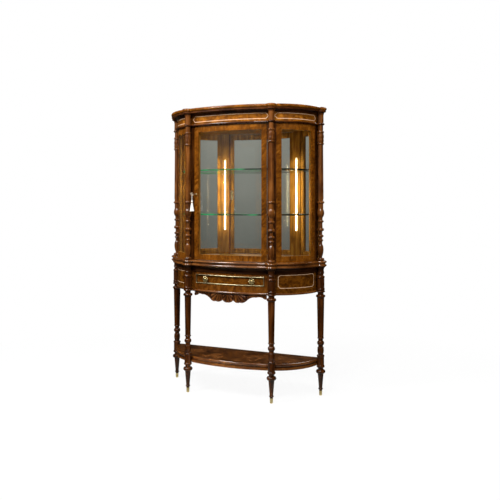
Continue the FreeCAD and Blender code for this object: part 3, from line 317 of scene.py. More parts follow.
# %% Brass
def brass(name, bright, dull):
    finish = Finish(name)
    place = finish.place()
    patches = finish.noise(place, scale=45.0, distortion=0.5)
    scratches = finish.noise(place, scale=400.0, detail=2.0)
    colour = finish.ramp(patches, (0.35, dull), (0.6, bright))
    dents = finish.bump(scratches, strength=0.05, distance=0.0002)
    return finish.surface(Base_Color=colour, Metallic=1.0, Roughness=0.42 - 0.2 * patches, Normal=dents)


old_brass = brass("old_brass", bright=(0.74, 0.66, 0.42), dull=(0.42, 0.34, 0.17))
gilt_brass = brass("gilt_brass", bright=(0.92, 0.74, 0.38), dull=(0.62, 0.45, 0.17))
dark_brass = brass("dark_brass", bright=(0.3, 0.21, 0.07), dull=(0.11, 0.075, 0.022))
pale_brass = brass("pale_brass", bright=(0.97, 0.86, 0.7), dull=(0.8, 0.66, 0.48))
print("brass ready")

# %% [markdown]
# Refraction could show the panes, but it is slow and a thin pane hardly bends light. So light goes
# straight through, and a face reflects a little when seen square on and nearly all at a glancing angle,
# which is Schlick's rule. Shelf glass looks green only at its edges, where light has run a long way
# through it, so these faces get a green of their own. Their brightness is painted light: they glow a
# little by emission, stronger to the left. The mirror is a bright metal, a touch grey.

# %% Glass and mirror
SQUARE_ON, SCHLICK_POWER = 0.05, 5.0
GREEN_DARK, GREEN_BRIGHT, PAINTED_LIGHT_SHIFT, PAINTED_EDGE_GLOW = (0.001, 0.01, 0.006), (0.016, 0.25, 0.08), 0.55, 0.12


def clear_glass(name, tint):
    finish = Finish(name)
    glancing = finish.node("LayerWeight", None, {"Blend": 0.5}, "Facing") ** SCHLICK_POWER
    opacity = SQUARE_ON + (1 - SQUARE_ON) * glancing
    return finish.surface(Base_Color=tint, Metallic=1.0, Roughness=0.0, Alpha=opacity)


def glass_edge_with_painted_glow(name):
    finish = Finish(name)
    place = finish.place()
    # painted light: the green is brighter to the left and glows a little by emission
    depth = finish.noise(place, scale=9.0, detail=3.0) - PAINTED_LIGHT_SHIFT * finish.axis(place, "X")
    colour = finish.ramp(depth, (0.4, GREEN_DARK), (0.66, GREEN_BRIGHT))
    return finish.surface(Base_Color=colour, Roughness=0.12, Emission_Color=colour,
                          Emission_Strength=PAINTED_EDGE_GLOW)


def silvered_glass(name):
    finish = Finish(name)
    haze = finish.noise(finish.place(), scale=4.0, detail=3.0)
    colour = finish.ramp(haze, (0.3, (0.78, 0.81, 0.79)), (0.7, (0.86, 0.88, 0.86)))
    return finish.surface(Base_Color=colour, Metallic=1.0, Roughness=0.006 * haze)


pane_glass = clear_glass("pane_glass", (0.98, 1.0, 0.985, 1))
shelf_glass = clear_glass("shelf_glass", (0.95, 1.0, 0.97, 1))
green_edge_painted_glow = glass_edge_with_painted_glow("green_edge_painted_glow")
mirror_silver = silvered_glass("mirror_silver")
print("glass and mirror ready")

# %% [markdown]
# The light strips glow by emission, warm on the strip and nearly white on its chips. Cotton thread is
# noise stretched along its length, with a soft sheen. The stringing is a pale wood, too thin to show more
# than a fine grain.


# %% Light, thread and stringing
def glowing(name, strength, warm, pale):
    finish = Finish(name)
    drift = finish.noise(finish.place(), scale=30.0, detail=2.0)
    colour = finish.ramp(drift, (0.3, warm), (0.7, pale))
    return finish.surface(Base_Color=(0.9, 0.85, 0.7, 1), Roughness=0.4, Emission_Color=colour,
                          Emission_Strength=strength)


def cotton_thread(name, light, shade):
    finish = Finish(name)
    strands = finish.noise(finish.stretched(finish.place(), (900.0, 900.0, 60.0)), detail=3.0)
    colour = finish.ramp(strands, (0.3, shade), (0.65, light))
    twist = finish.bump(strands, strength=0.4, distance=0.0004)
    return finish.surface(Base_Color=colour, Roughness=0.8, Normal=twist, Sheen_Weight=0.4)


def maple_line(name):
    finish = Finish(name)
    grain = finish.noise(finish.place(), scale=160.0, detail=3.0)
    colour = finish.ramp(grain, (0.3, (0.62, 0.38, 0.22)), (0.7, (0.83, 0.58, 0.38)))
    return finish.surface(Base_Color=colour, Roughness=0.3 + 0.1 * grain, Coat_Weight=0.3)


strip_glow = glowing("strip_glow", 1.0, warm=(1.0, 0.62, 0.22), pale=(1.0, 0.74, 0.34))
chip_glow = glowing("chip_glow", 90.0, warm=(1.0, 0.8, 0.48), pale=(1.0, 0.86, 0.58))
cream_thread = cotton_thread("cream_thread", light=(0.94, 0.92, 0.88), shade=(0.68, 0.64, 0.57))
tie_thread = cotton_thread("tie_thread", light=(0.34, 0.24, 0.11), shade=(0.15, 0.09, 0.035))
cream_stringing = maple_line("cream_stringing")
print("light, thread and stringing ready")

# %% [markdown]
# Most CAD nodes already have the right shape and only need their finish, so there is no new mesh for
# them. Vertical members take the upright grain, mouldings the level one, and the flat faces the burl.

# %% Finishes of the solids
COLUMNS = {"front_left": (-0.316, -0.134), "front_right": (0.316, -0.134), "back_left": (-0.57, 0.16),
           "back_right": (0.57, 0.16)}
FINISHES = {
    turned_walnut: [*(f"column_{corner}" for corner in COLUMNS), "head_drums", "door_stop"],
    leg_walnut: [f"leg_{corner}" for corner in COLUMNS],
    moulded_walnut: ["base_moulding", "frieze_beads", "carved_apron"],
    head_walnut: ["head_bead", "cornice"],
    band_walnut: ["undertier_bands"],
    dark_cove_walnut: ["waist_cove"],
    post_walnut: ["cabinet_posts"],
    inner_walnut: ["frieze_corner_blocks", "stand_top_board", "cabinet_floor", "ceiling_board",
                   "drawer_runners", "side_glazing_beads", "door_glazing_beads"],
    back_wood: ["back_panel", "stand_back_rail"],
    drawer_wood: ["drawer_box", "drawer_bottom"],
    top_burl: ["top_board"],
    panel_burl: ["head_front_panel", "head_side_panels"],
    drawer_burl: ["drawer_front", "frieze_side_panels"],
    frieze_burl: ["frieze_lower_rail", "frieze_upper_rail", "drawer_opening_stiles"],
    rail_burl: ["side_frame_rails", "door_rails"],
    stile_burl: ["side_frame_stiles", "door_lock_stile", "door_hinge_stile"],
    undertier_burl: ["undertier_board"],
    old_brass: ["drawer_brass_bead", "pivot_pins", "pivot_bushes", "lock_case", "lock_bolt", "shelf_pins"],
    gilt_brass: ["foot_ferrules", "drawer_knobs"],
    dark_brass: ["escutcheon"],
    pale_brass: ["key"],
    pane_glass: ["door_glass", "side_glass", "glass_shelves"],
    mirror_silver: ["mirror"],
    strip_glow: ["led_strips"],
    cream_thread: ["tassel_cord", "tassel"],
}
for material, names in FINISHES.items():
    for name in names:
        nodes[name].data.materials.clear()
        nodes[name].data.materials.append(material)
print(f"{sum(map(len, FINISHES.values()))} of {len(nodes)} solids have a finish")

# %% [markdown]
# The front and the two sides of the cabinet are arcs in plan. A place on such a face could be worked out
# anew for each piece, but it is easier to say it as on a flat board: so far along the face, so deep
# behind the columns and so high.

# %% Bowed faces
FRONT_ANGLE, BACK_ANGLE = radians(16.565), radians(81.8)
SIDE_MIDDLE = (FRONT_ANGLE + BACK_ANGLE) / 2
FACE_DEPTH = 0.03
Face = namedtuple("Face", "centre_x centre_y radius middle")
FACES = {"front": Face(0.0, 0.928391, 1.108391, 0.0),
         "right": Face(0.213231, 0.211507, 0.360467, SIDE_MIDDLE),
         "left": Face(-0.213231, 0.211507, 0.360467, -SIDE_MIDDLE)}


def run(face, angle):
    """How far along a face an angle of its arc reaches."""
    return angle * (FACES[face].radius - FACE_DEPTH)


def on_face(face, along, depth, height):
    """The point of a bowed face that lies so far along it, so deep behind the columns and so high."""
    arc = FACES[face]
    angle = arc.middle + along / (arc.radius - FACE_DEPTH)
    reach = arc.radius - depth
    return Vector((arc.centre_x + reach * sin(angle), arc.centre_y - reach * cos(angle), height))


print(f"{len(FACES)} bowed faces")

# %% [markdown]
# Every new piece ends in the same way: its bmesh becomes a smooth shaded object with its materials, which
# rides on the body that carries it. With two materials, a test says which faces take the second one.


# %% Finished pieces
def second_material(bm, test):
    """Give the faces that pass a test the second material of their piece."""
    for face in bm.faces:
        face.material_index = 1 if test(face) else 0


def mesh_object(name, bm, *materials):
    mesh = bpy.data.meshes.new(name)
    bm.to_mesh(mesh)
    bm.free()
    for material in materials:
        mesh.materials.append(material)
    return new_object(name, mesh)


def piece(name, bm, body, slot, *materials, sharp=35.0, replaces=()):
    """Make a finished piece of a bmesh: smooth shaded, riding on its body."""
    item = mesh_object(name, bm, *materials)
    for polygon in item.data.polygons:
        polygon.use_smooth = True
    item.data.set_sharp_from_angle(angle=radians(sharp))
    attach(item, body)
    if replaces:
        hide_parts(*replaces)
    print(f"{name}: {len(item.data.polygons)} faces on {body}")
    return item


print("pieces can be finished")

# %% [markdown]
# A tassel hangs from the key on a short cord of cotton thread. The cord is limp and its tassel pulls it
# straight, so it runs straight down from the loop in the key's bow. A tube would look the same, but the
# length of a curve can be measured.

# %% Hanging cord
LOCK_ANGLE, LOCK_HEIGHT = radians(-13.78), 1.399
LOCK_ALONG = run("front", LOCK_ANGLE)
KEY_BOW_DEPTH = -0.016
TASSEL_SPOT = on_face("front", LOCK_ALONG, KEY_BOW_DEPTH, 0.0)
CORD_ROUTE = [(TASSEL_SPOT.x, TASSEL_SPOT.y, height) for height in (1.3856, 1.37, 1.345, 1.325)]
CORD_RADIUS = 0.0014
cord_curve = bpy.data.curves.new("tassel_hanging_cord", "CURVE")
cord_curve.dimensions = "3D"
cord_curve.bevel_depth = CORD_RADIUS
cord_curve.bevel_resolution = 3
cord_curve.use_fill_caps = True
cord_line = cord_curve.splines.new("NURBS")
cord_line.points.add(len(CORD_ROUTE) - 1)
for point, spot in zip(cord_line.points, CORD_ROUTE):
    point.co = (*spot, 1.0)
cord_line.order_u = 3
cord_line.use_endpoint_u = True
cord_curve.materials.append(cream_thread)
hanging_cord = new_object("tassel_hanging_cord", cord_curve)
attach(hanging_cord, "tassel")
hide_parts("tassel_cord")
print(f"cord from {CORD_ROUTE[0]} down to {CORD_ROUTE[-1]}")

# %% [markdown]
# The tassel has a moulded head, a neck bound with dark thread and a skirt of threads. Single threads
# would be hundreds of thin tubes, so it is turned in one piece, and the skirt's threads are ridges: every
# other point of the turning is pushed inwards.

# %% Tassel
TASSEL_PROFILE = [(0, 1.3546), (0.0028, 1.3543), (0.0056, 1.352), (0.0066, 1.3486), (0.0064, 1.345),
                  (0.0054, 1.3428), (0.0058, 1.342), (0.0062, 1.3398), (0.006, 1.3374), (0.0054, 1.3368),
                  (0.0062, 1.33), (0.0078, 1.32), (0.0094, 1.309), (0.0112, 1.298), (0.013, 1.288),
                  (0.0142, 1.283), (0.0147, 1.2798), (0.012, 1.2802), (0.0, 1.2806)]
SKIRT_TOP, TIE_TOP = 1.3366, 1.3426
THREADS, THREAD_SHRINK = 36, 0.9
MERGE = 1e-6


def face_outwards(bm):
    bmesh.ops.recalc_face_normals(bm, faces=bm.faces[:])


def spin_profile(bm, profile, steps):
    """Turn (radius, height) points about the upright axis."""
    verts = [bm.verts.new((radius, 0, height)) for radius, height in profile]
    edges = [bm.edges.new(pair) for pair in zip(verts, verts[1:])]
    bmesh.ops.spin(bm, geom=verts + edges, cent=(0, 0, 0), axis=(0, 0, 1), angle=2 * pi, steps=steps,
                   use_merge=True)
    bmesh.ops.remove_doubles(bm, verts=bm.verts[:], dist=MERGE)
    face_outwards(bm)


tassel_mesh = bmesh.new()
spin_profile(tassel_mesh, TASSEL_PROFILE, 2 * THREADS)
for vert in tassel_mesh.verts:
    between = round(atan2(vert.co.y, vert.co.x) / (2 * pi) * 2 * THREADS) % 2
    if between and vert.co.z < SKIRT_TOP:
        vert.co.xy *= THREAD_SHRINK
second_material(tassel_mesh, lambda face: SKIRT_TOP < face.calc_center_median().z < TIE_TOP)
bmesh.ops.translate(tassel_mesh, verts=tassel_mesh.verts[:], vec=TASSEL_SPOT)
tassel_threads = piece("tassel_threads", tassel_mesh, "tassel", "tassel_thread", cream_thread, tie_thread,
                       replaces=["tassel"])

# %% [markdown]
# The cord is knotted into a small loop through the bow of the key. A ring has no ends, so it isn't a
# second cord: a small circle is turned once round and stood upright, square to the face of the door.

# %% Loop in the key
LOOP_RADIUS, LOOP_HEIGHT, LOOP_SIDES, LOOP_STEPS = 0.0039, 1.3895, 12, 24
corners = [2 * pi * i / LOOP_SIDES for i in range(LOOP_SIDES + 1)]
thread_section = [(LOOP_RADIUS + CORD_RADIUS * cos(a), CORD_RADIUS * sin(a)) for a in corners]
loop_mesh = bmesh.new()
spin_profile(loop_mesh, thread_section, LOOP_STEPS)


def facing_out(spot, angle):
    """Stand work that lies flat on its back at a spot of the front, square to the face."""
    return Matrix.Translation(spot) @ Matrix.Rotation(angle, 4, "Z") @ Matrix.Rotation(pi / 2, 4, "X")


loop_middle = TASSEL_SPOT + Vector((0, 0, LOOP_HEIGHT))
bmesh.ops.transform(loop_mesh, matrix=facing_out(loop_middle, LOCK_ANGLE), verts=loop_mesh.verts[:])
piece("tassel_loop", loop_mesh, "tassel", "tassel_thread", cream_thread)

# %% [markdown]
# Pieces that follow a bowed face are easier to model flat, with x along the face, y its depth and z its
# height, and to bend afterwards. Long edges are first cut into short ones, or they could not bend.


# %% Flat work and bending
def framed(bm, face, width):
    """Inset a flat face by a width. A new face has no normal yet, and the inset needs one."""
    bm.normal_update()
    bmesh.ops.inset_region(bm, faces=[face], thickness=width, use_boundary=True, use_even_offset=True)


def cut_across(bm, place, normal):
    everything = bm.verts[:] + bm.edges[:] + bm.faces[:]
    bmesh.ops.bisect_plane(bm, geom=everything, plane_co=place, plane_no=normal)


def slice_upright(bm, step):
    """Cut flat work across its length into short pieces."""
    low, high = min(v.co.x for v in bm.verts), max(v.co.x for v in bm.verts)
    count = max(2, round((high - low) / step))
    for i in range(1, count):
        cut_across(bm, (low + (high - low) * i / count, 0, 0), (1, 0, 0))


def thicken_to(bm, depth):
    """Close flat work into a solid whose back lies at a depth."""
    grown = bmesh.ops.extrude_face_region(bm, geom=bm.faces[:])["geom"]
    for vert in (item for item in grown if isinstance(item, bmesh.types.BMVert)):
        vert.co.y = depth


def bend(bm, face):
    for vert in bm.verts:
        vert.co = on_face(face, *vert.co)
    face_outwards(bm)


print("flat work can be bent")

# %% [markdown]
# A line of pale stringing is let into the head panels and the side panels of the frieze. It could be
# drawn in the veneer's material, but a real line catches the light. Each is a rectangle with canted
# corners: one face, inset by the width of the line, with the middle taken out again. It stands a hair
# proud of the veneer, so the two never share a surface.

# %% Stringing
LINE_WIDTH, LINE_PROUD, LINE_STEP = 0.0036, 0.0004, 0.012
HEAD_LINE = {"low": 1.9045, "high": 1.9455, "cant_along": 0.019, "cant_up": 0.019}
FRIEZE_LINE = {"low": 0.7605, "high": 0.851, "cant_along": 0.014, "cant_up": 0.014}


def stringing(name, face, half_length, low, high, cant_along, cant_up):
    bm = bmesh.new()
    flat = half_length - cant_along
    outline = [(-flat, low), (flat, low), (half_length, low + cant_up), (half_length, high - cant_up),
               (flat, high), (-flat, high), (-half_length, high - cant_up), (-half_length, low + cant_up)]
    panel = bm.faces.new([bm.verts.new((x, FACE_DEPTH - LINE_PROUD, z)) for x, z in outline])
    framed(bm, panel, LINE_WIDTH)
    bmesh.ops.delete(bm, geom=[panel], context="FACES")
    slice_upright(bm, LINE_STEP)
    thicken_to(bm, FACE_DEPTH + LINE_PROUD)
    bend(bm, face)
    return piece(name, bm, "carcass", "burl_veneer", cream_stringing)


stringing("head_front_stringing", "front", half_length=0.291, **HEAD_LINE)
for side in ("left", "right"):
    stringing(f"head_{side}_stringing", side, half_length=0.17, **HEAD_LINE)
    stringing(f"frieze_{side}_stringing", side, half_length=0.146, **FRIEZE_LINE)

# %% [markdown]
# The apron below the frieze is carved with a shell in the middle, a leaf to each side of it and slanted
# flutes beyond. Sculpting by hand can't be repeated, so the carving is a formula: a fine grid hangs from
# the frieze with its lower edge on the apron's outline, and every point is pushed out by ribs that fan
# from the top of the shell or leaf and by a rounded rim, and in where shell and leaf meet.

# %% Pattern of the apron
# distance from the middle, drop, and rise of the edge towards the next point
APRON_OUTLINE = [(0.0, 0.06, 0.0073), (0.04, 0.043, 0.0095), (0.09, 0.056, 0.0099),
                 (0.143, 0.037, -0.007), (0.206, 0.0185, -0.0046), (0.252, 0.0205, 0.0048),
                 (0.277, 0.028, 0.0)]
APRON_HALF, APRON_END_DROP = APRON_OUTLINE[-1][:2]
SHELL_REACH, SHELL_RIBS, SHELL_FAN_LIFT = 0.04, 13, 0.004
LEAF_FAN, LEAF_RIBS, LEAF_END_WIDTH = (0.062, -0.012), 17, 0.005
FLANK_START, FLUTE_PITCH, FLUTE_SLANT = 0.136, 0.0145, 0.9
RIB_DEPTH, RIM_DEPTH, RIM_SHARE, TOP_FADE = 0.0056, 0.0044, 0.09, 0.2
VALLEY_WIDTH, VALLEY_DEPTH = 0.0035, 0.003
TINY = 1e-9


def apron_drop(along):
    """How far the apron hangs down at a distance from its middle."""
    away = abs(along)
    for (start, first, rise), (end, last, _rise) in zip(APRON_OUTLINE, APRON_OUTLINE[1:]):
        if away <= end + TINY:
            share = (away - start) / (end - start)
            return first + (last - first) * share + rise * 4 * share * (1 - share)
    return APRON_END_DROP


def hump(distance, width):
    """1 at no distance, and falling softly to 0 over a width."""
    return exp(-(distance / width) ** 2)


def apron_relief(along, down, share):
    """How far the carving stands proud, from the distance along, the drop and its share of the whole."""
    away = abs(along)
    if away < SHELL_REACH:
        ribs = cos(SHELL_RIBS * atan2(away, down + SHELL_FAN_LIFT))
    elif away < FLANK_START:
        ribs = cos(LEAF_RIBS * atan2(away - LEAF_FAN[0], down - LEAF_FAN[1]))
    else:
        ribs = cos(2 * pi * (away - FLUTE_SLANT * down) / FLUTE_PITCH)
    valley = hump(away - SHELL_REACH, VALLEY_WIDTH)
    leaf_end = hump(away - FLANK_START, LEAF_END_WIDTH)
    rim = hump(1 - share, RIM_SHARE)
    fade = min(1.0, share / TOP_FADE) * (1 - rim) * (1 - valley) * (1 - leaf_end)
    return RIB_DEPTH * (0.5 + 0.5 * ribs) * fade + RIM_DEPTH * rim - VALLEY_DEPTH * valley * (1 - rim)


print(f"apron {2 * APRON_HALF} m long, {apron_drop(0)} m deep in the middle")

# %% [markdown]
# The grid is laid, pushed into shape and closed at the back. The faces that lie deepest take a darker
# walnut, which is painted shade in the cuts between the ribs.

# %% Carved apron
APRON_TOP, APRON_FRONT, APRON_BACK = 0.715, 0.034, 0.048
APRON_COLUMNS, APRON_ROWS = 260, 36
PAINTED_SHADE_SHARE = 0.22
apron_mesh = bmesh.new()
bmesh.ops.create_grid(apron_mesh, x_segments=APRON_COLUMNS, y_segments=APRON_ROWS, size=0.5)
for vert in apron_mesh.verts:
    along = 2 * vert.co.x * APRON_HALF
    share = 0.5 - vert.co.y
    down = share * apron_drop(along)
    vert.co = (along, APRON_FRONT - apron_relief(along, down, share), APRON_TOP - down)
# the faces that lie deepest take painted shade
painted_shade_depth = APRON_FRONT - PAINTED_SHADE_SHARE * RIB_DEPTH
second_material(apron_mesh, lambda face: face.calc_center_median().y > painted_shade_depth)
thicken_to(apron_mesh, APRON_BACK)
bend(apron_mesh, "front")
piece("leaf_apron", apron_mesh, "carcass", "turned_wood", carved_walnut, painted_shade_walnut,
      replaces=["carved_apron"])

# %% [markdown]
# Near the top of each column a band is carved with two rows of upright leaves. Cutting them out of the
# shaft would need a Boolean for each, so they are laid on it. One leaf is a small grid wrapped on the
# shaft: narrow at its tip, swelling in the middle and ridged along its rib. It is repeated round the
# column, the upper row between the leaves of the lower one.

# %% Leaf bands on the columns
BAND_FOOT, BAND_RADIUS, ROWS, ROW_RISE = 1.758, 0.0178, 2, 0.028
LEAF_COUNT, LEAF_HEIGHT, LEAF_SWELL, LEAF_SKIN = 8, 0.034, 0.003, 0.0008
RIB_RISE, TIP_CURL, TIP_WIDTH = 0.0012, 0.001, 0.02


def add_leaf(bm, turn, foot):
    grown = bmesh.ops.create_grid(bm, x_segments=6, y_segments=8, size=0.5)["verts"]
    for vert in grown:
        across, up = 2 * vert.co.x, vert.co.y + 0.5
        taper = (0.75 + 0.6 * up) * sqrt(max(1 - up ** 3, TIP_WIDTH))
        swell = sin(pi * min(up + 0.15, 1.0)) * (1 - 0.5 * across ** 2)
        reach = BAND_RADIUS + LEAF_SWELL * swell + RIB_RISE * (1 - abs(across)) + TIP_CURL * up ** 4
        angle = turn + across * (pi / LEAF_COUNT) * taper
        vert.co = (reach * sin(angle), -reach * cos(angle), foot + up * LEAF_HEIGHT)


for corner, (x, y) in COLUMNS.items():
    band = bmesh.new()
    for row in range(ROWS):
        for leaf in range(LEAF_COUNT):
            add_leaf(band, 2 * pi * (leaf + row / ROWS) / LEAF_COUNT, BAND_FOOT + row * ROW_RISE)
    face_outwards(band)
    bmesh.ops.solidify(band, geom=band.faces[:], thickness=LEAF_SKIN)
    face_outwards(band)
    bmesh.ops.translate(band, verts=band.verts[:], vec=(x, y, 0))
    piece(f"leaf_band_{corner}", band, "carcass", "turned_wood", turned_walnut)

# %% [markdown]
# The drawer has two cast brass knobs shaped like a rosette. Petals could be modelled one by one, but the
# whole knob is round, so the profile of plate, stem and head is turned, and the head's radius then swells
# and shrinks eight times a turn. The cuts between the petals and round the eye are darker.

# %% Rosette knobs
KNOB_X, KNOB_HEIGHT, DRAWER_DEPTH, KNOB_STEPS = 0.173, 0.8055, 0.036, 96
KNOB_PROFILE = [(0, -0.004), (0.004, -0.004), (0.004, 0), (0.012, 0), (0.012, 0.0012), (0.0108, 0.002),
                (0.006, 0.0024), (0.0056, 0.009), (0.0075, 0.01), (0.017, 0.0098), (0.0218, 0.0112),
                (0.0226, 0.013), (0.0212, 0.015), (0.017, 0.0162), (0.0124, 0.0148), (0.0094, 0.0138),
                (0.0088, 0.0158), (0.0076, 0.0174), (0.005, 0.0186), (0.002, 0.019), (0.0, 0.019)]
KNOB_REACH = max(radius for radius, height in KNOB_PROFILE)
PETALS, PETAL_FOOT, PETAL_ROOT, PETAL_PINCH, PETAL_DROP = 8, 0.0095, 0.0085, 0.2, 0.0036
CUT_SHARE, EYE_CUT = 0.45, (0.0088, 0.012)


def petal_share(spot):
    """1 along the middle of a petal, and 0 between two petals."""
    return abs(cos(PETALS / 2 * atan2(spot.y, spot.x)))


def in_cut(face):
    """Whether a face of the knob lies in the cut round its eye or between two petals."""
    spot = face.calc_center_median()
    radius = spot.xy.length
    return EYE_CUT[0] < radius < EYE_CUT[1] or (radius > EYE_CUT[1] and petal_share(spot) < CUT_SHARE)


def rosette_knob():
    knob = bmesh.new()
    spin_profile(knob, KNOB_PROFILE, KNOB_STEPS)
    for vert in knob.verts:
        radius = vert.co.xy.length
        if vert.co.z > PETAL_FOOT and radius > PETAL_ROOT:
            pinch = (1 - petal_share(vert.co)) * (radius - PETAL_ROOT) / (KNOB_REACH - PETAL_ROOT)
            vert.co.xy *= 1 - PETAL_PINCH * pinch
            vert.co.z -= PETAL_DROP * pinch
    second_material(knob, in_cut)
    return knob


def join(target, bm):
    """Move the faces of a bmesh into another one."""
    carrier = bpy.data.meshes.new("carrier")
    bm.to_mesh(carrier)
    bm.free()
    target.from_mesh(carrier)
    bpy.data.meshes.remove(carrier)


knobs = bmesh.new()
knob_angle = asin(KNOB_X / (FACES["front"].radius - DRAWER_DEPTH))
for angle in (-knob_angle, knob_angle):
    knob = rosette_knob()
    seat = on_face("front", run("front", angle), DRAWER_DEPTH, KNOB_HEIGHT)
    bmesh.ops.transform(knob, matrix=facing_out(seat, angle), verts=knob.verts[:])
    join(knobs, knob)
piece("rosette_knobs", knobs, "drawer", "brass", gilt_brass, dark_brass, replaces=["drawer_knobs"])

# %% [markdown]
# The door and the sides hold bent glass with a bevelled border. A bevel on the bent solid would run round
# all its edges, so the panes are flat work: a rectangle inset by the width of the bevel, whose rim drops
# back. Cut into narrow strips and closed at the back, it bends like the frame.

# %% Bevelled panes
BEVEL_WIDTH, BEVEL_DROP, GLASS_FRONT, GLASS_BACK = 0.03, 0.0024, 0.0362, 0.0412
PANE_SHARP = 3.0


def pane(face, half_length, low, high, step):
    bm = bmesh.new()
    corners = ((-half_length, low), (half_length, low), (half_length, high), (-half_length, high))
    rim = [bm.verts.new((x, GLASS_FRONT, z)) for x, z in corners]
    framed(bm, bm.faces.new(rim), BEVEL_WIDTH)
    for vert in rim:
        vert.co.y = GLASS_FRONT + BEVEL_DROP
    slice_upright(bm, step)
    thicken_to(bm, GLASS_BACK)
    bend(bm, face)
    return bm


def half_run(face, edge):
    """Half the length along a face of a pane whose outer edge lies at an x."""
    arc = FACES[face]
    return run(face, asin((edge - arc.centre_x) / (arc.radius - GLASS_FRONT)) - arc.middle)


low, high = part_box("door_glass")
door_pane = pane("front", half_run("front", high.x), low.z, high.z, step=0.02)
piece("door_bevelled_pane", door_pane, "door", "glass", pane_glass, sharp=PANE_SHARP,
      replaces=["door_glass"])
low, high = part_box("side_glass")
side_panes = bmesh.new()
for side in ("left", "right"):
    join(side_panes, pane(side, half_run("right", high.x), low.z, high.z, step=0.008))
piece("side_bevelled_panes", side_panes, "carcass", "glass", pane_glass, sharp=PANE_SHARP,
      replaces=["side_glass"])

# %% [markdown]
# The two shelves keep the solid's own shape, and only their edges need another finish. A copy of the mesh
# is merged, because a solid comes as loose triangles, and the faces that stand upright take the green.

# %% Glass shelves
UPRIGHT = 0.5


def merged_copy(node, distance=MERGE):
    """A bmesh of a solid, with its loose triangles joined."""
    bm = bmesh.new()
    bm.from_mesh(nodes[node].data)
    bmesh.ops.remove_doubles(bm, verts=bm.verts[:], dist=distance)
    bm.normal_update()
    return bm


shelves = merged_copy("glass_shelves")
second_material(shelves, lambda face: abs(face.normal.z) < UPRIGHT)
piece("green_edged_shelves", shelves, "carcass", "glass", shelf_glass, green_edge_painted_glow,
      replaces=["glass_shelves"])

# %% [markdown]
# A strip of small lamps runs up the back of each front post and lights the inside. One glowing bar would
# lack the dotted look of its reflection, so the chips are tiny glowing blocks set in a row on the strip.

# %% Lamp chips
CHIP_PITCH, CHIP_SIZE, CHIP_THICKNESS, CHIP_DEPTH = 0.0167, 0.005, 0.0018, 0.0666
STRIP_LOW, STRIP_HIGH = (corner.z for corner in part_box("led_strips"))
chip_count = int((STRIP_HIGH - STRIP_LOW) / CHIP_PITCH)
chip_shape = Matrix.Diagonal((CHIP_SIZE, CHIP_THICKNESS, CHIP_SIZE, 1))
chips = bmesh.new()
for corner, angle in (("front_left", -FRONT_ANGLE), ("front_right", FRONT_ANGLE)):
    turn = Matrix.Rotation(angle, 4, "Z")
    post = Vector((*COLUMNS[corner], STRIP_LOW)) + turn @ Vector((0, CHIP_DEPTH, 0))
    for i in range(chip_count):
        place = Matrix.Translation(post + Vector((0, 0, (i + 0.5) * CHIP_PITCH))) @ turn
        bmesh.ops.create_cube(chips, size=1.0, matrix=place @ chip_shape)
face_outwards(chips)
piece("lamp_chips", chips, "carcass", "light_strip", chip_glow)

# %% [markdown]
# Inside the door a brass plate with round ends covers the lock. Its outline needs no drawing: it is a
# circle pulled apart at its middle, inset for a raised rim, laid flat and bent like the door.

# %% Lock plate
PLATE_RADIUS, PLATE_REACH, PLATE_FRONT, PLATE_BACK = 0.015, 0.024, 0.054, 0.0556
PLATE_SIDES, RIM_WIDTH, RIM_SINK = 32, 0.0028, 0.0006
plate = bmesh.new()
disc = bmesh.ops.create_circle(plate, cap_ends=True, segments=PLATE_SIDES, radius=PLATE_RADIUS)
for vert in disc["verts"]:
    across, up = vert.co.x, vert.co.y
    lift = PLATE_REACH if up > 0 else -PLATE_REACH
    vert.co = (LOCK_ALONG + across, PLATE_BACK, LOCK_HEIGHT + up + lift)
plate_face = plate.faces[:][0]
framed(plate, plate_face, RIM_WIDTH)
for vert in plate_face.verts:
    vert.co.y -= RIM_SINK
thicken_to(plate, PLATE_FRONT)
bend(plate, "front")
piece("lock_plate", plate, "door", "brass", old_brass)

# %% [markdown]
# The frames and posts are veneered outside and golden inside: partly the inner wood, partly painted
# light from the strips; the posts' dark outer faces are partly painted shade. A mask in one material
# would have to know the shape, so in a copy of each solid the faces that look towards the middle of
# the cabinet take the inner wood.

# %% Lined frames
CABINET_MIDDLE = Vector((0.0, 0.19, 0.0))
LOOKS_IN = 0.6


def looks_in(face):
    inward = CABINET_MIDDLE - face.calc_center_median()
    inward.z = 0.0
    return face.normal.dot(inward.normalized()) > LOOKS_IN


def lined_with_painted_light(node, body, outer, slot="burl_veneer"):
    bm = merged_copy(node)
    second_material(bm, looks_in)
    piece(f"lined_{node}", bm, body, slot, outer, inner_walnut, replaces=[node])


for node in ("door_lock_stile", "door_hinge_stile"):
    lined_with_painted_light(node, "door", stile_burl)
lined_with_painted_light("door_rails", "door", rail_burl)
lined_with_painted_light("side_frame_stiles", "carcass", stile_burl)
lined_with_painted_light("side_frame_rails", "carcass", rail_burl)
lined_with_painted_light("cabinet_posts", "carcass", post_walnut, slot="turned_wood")

# %% [markdown]
# Under the undertier's edge runs a band of plain walnut, set back a little under the board. The board's
# shadow on its top is painted, so the band keeps its shape: a copy is cut a little below its top, and the
# strip above the cut takes the dark walnut of painted shadow.

# %% Bands with painted shadow
PAINTED_SHADOW_HEIGHT = 0.008
bands = merged_copy("undertier_bands")
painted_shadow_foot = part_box("undertier_bands")[1].z - PAINTED_SHADOW_HEIGHT
cut_across(bands, (0, 0, painted_shadow_foot), (0, 0, 1))
# painted shadow: the strip just below the top of the band takes the dark walnut
second_material(bands, lambda face: face.calc_center_median().z > painted_shadow_foot)
piece("shadow_painted_bands", bands, "carcass", "turned_wood", band_walnut, painted_shade_walnut,
      replaces=["undertier_bands"])

# %% [markdown]
# The undertier's edge is moulded, and its sides are plain walnut below the burl of the top. In a copy of
# the solid the flat faces are joined again, so that the bevel meets only true edges. Faces that aren't
# level take the walnut. The brass bead round the drawer is rounded in the same way.

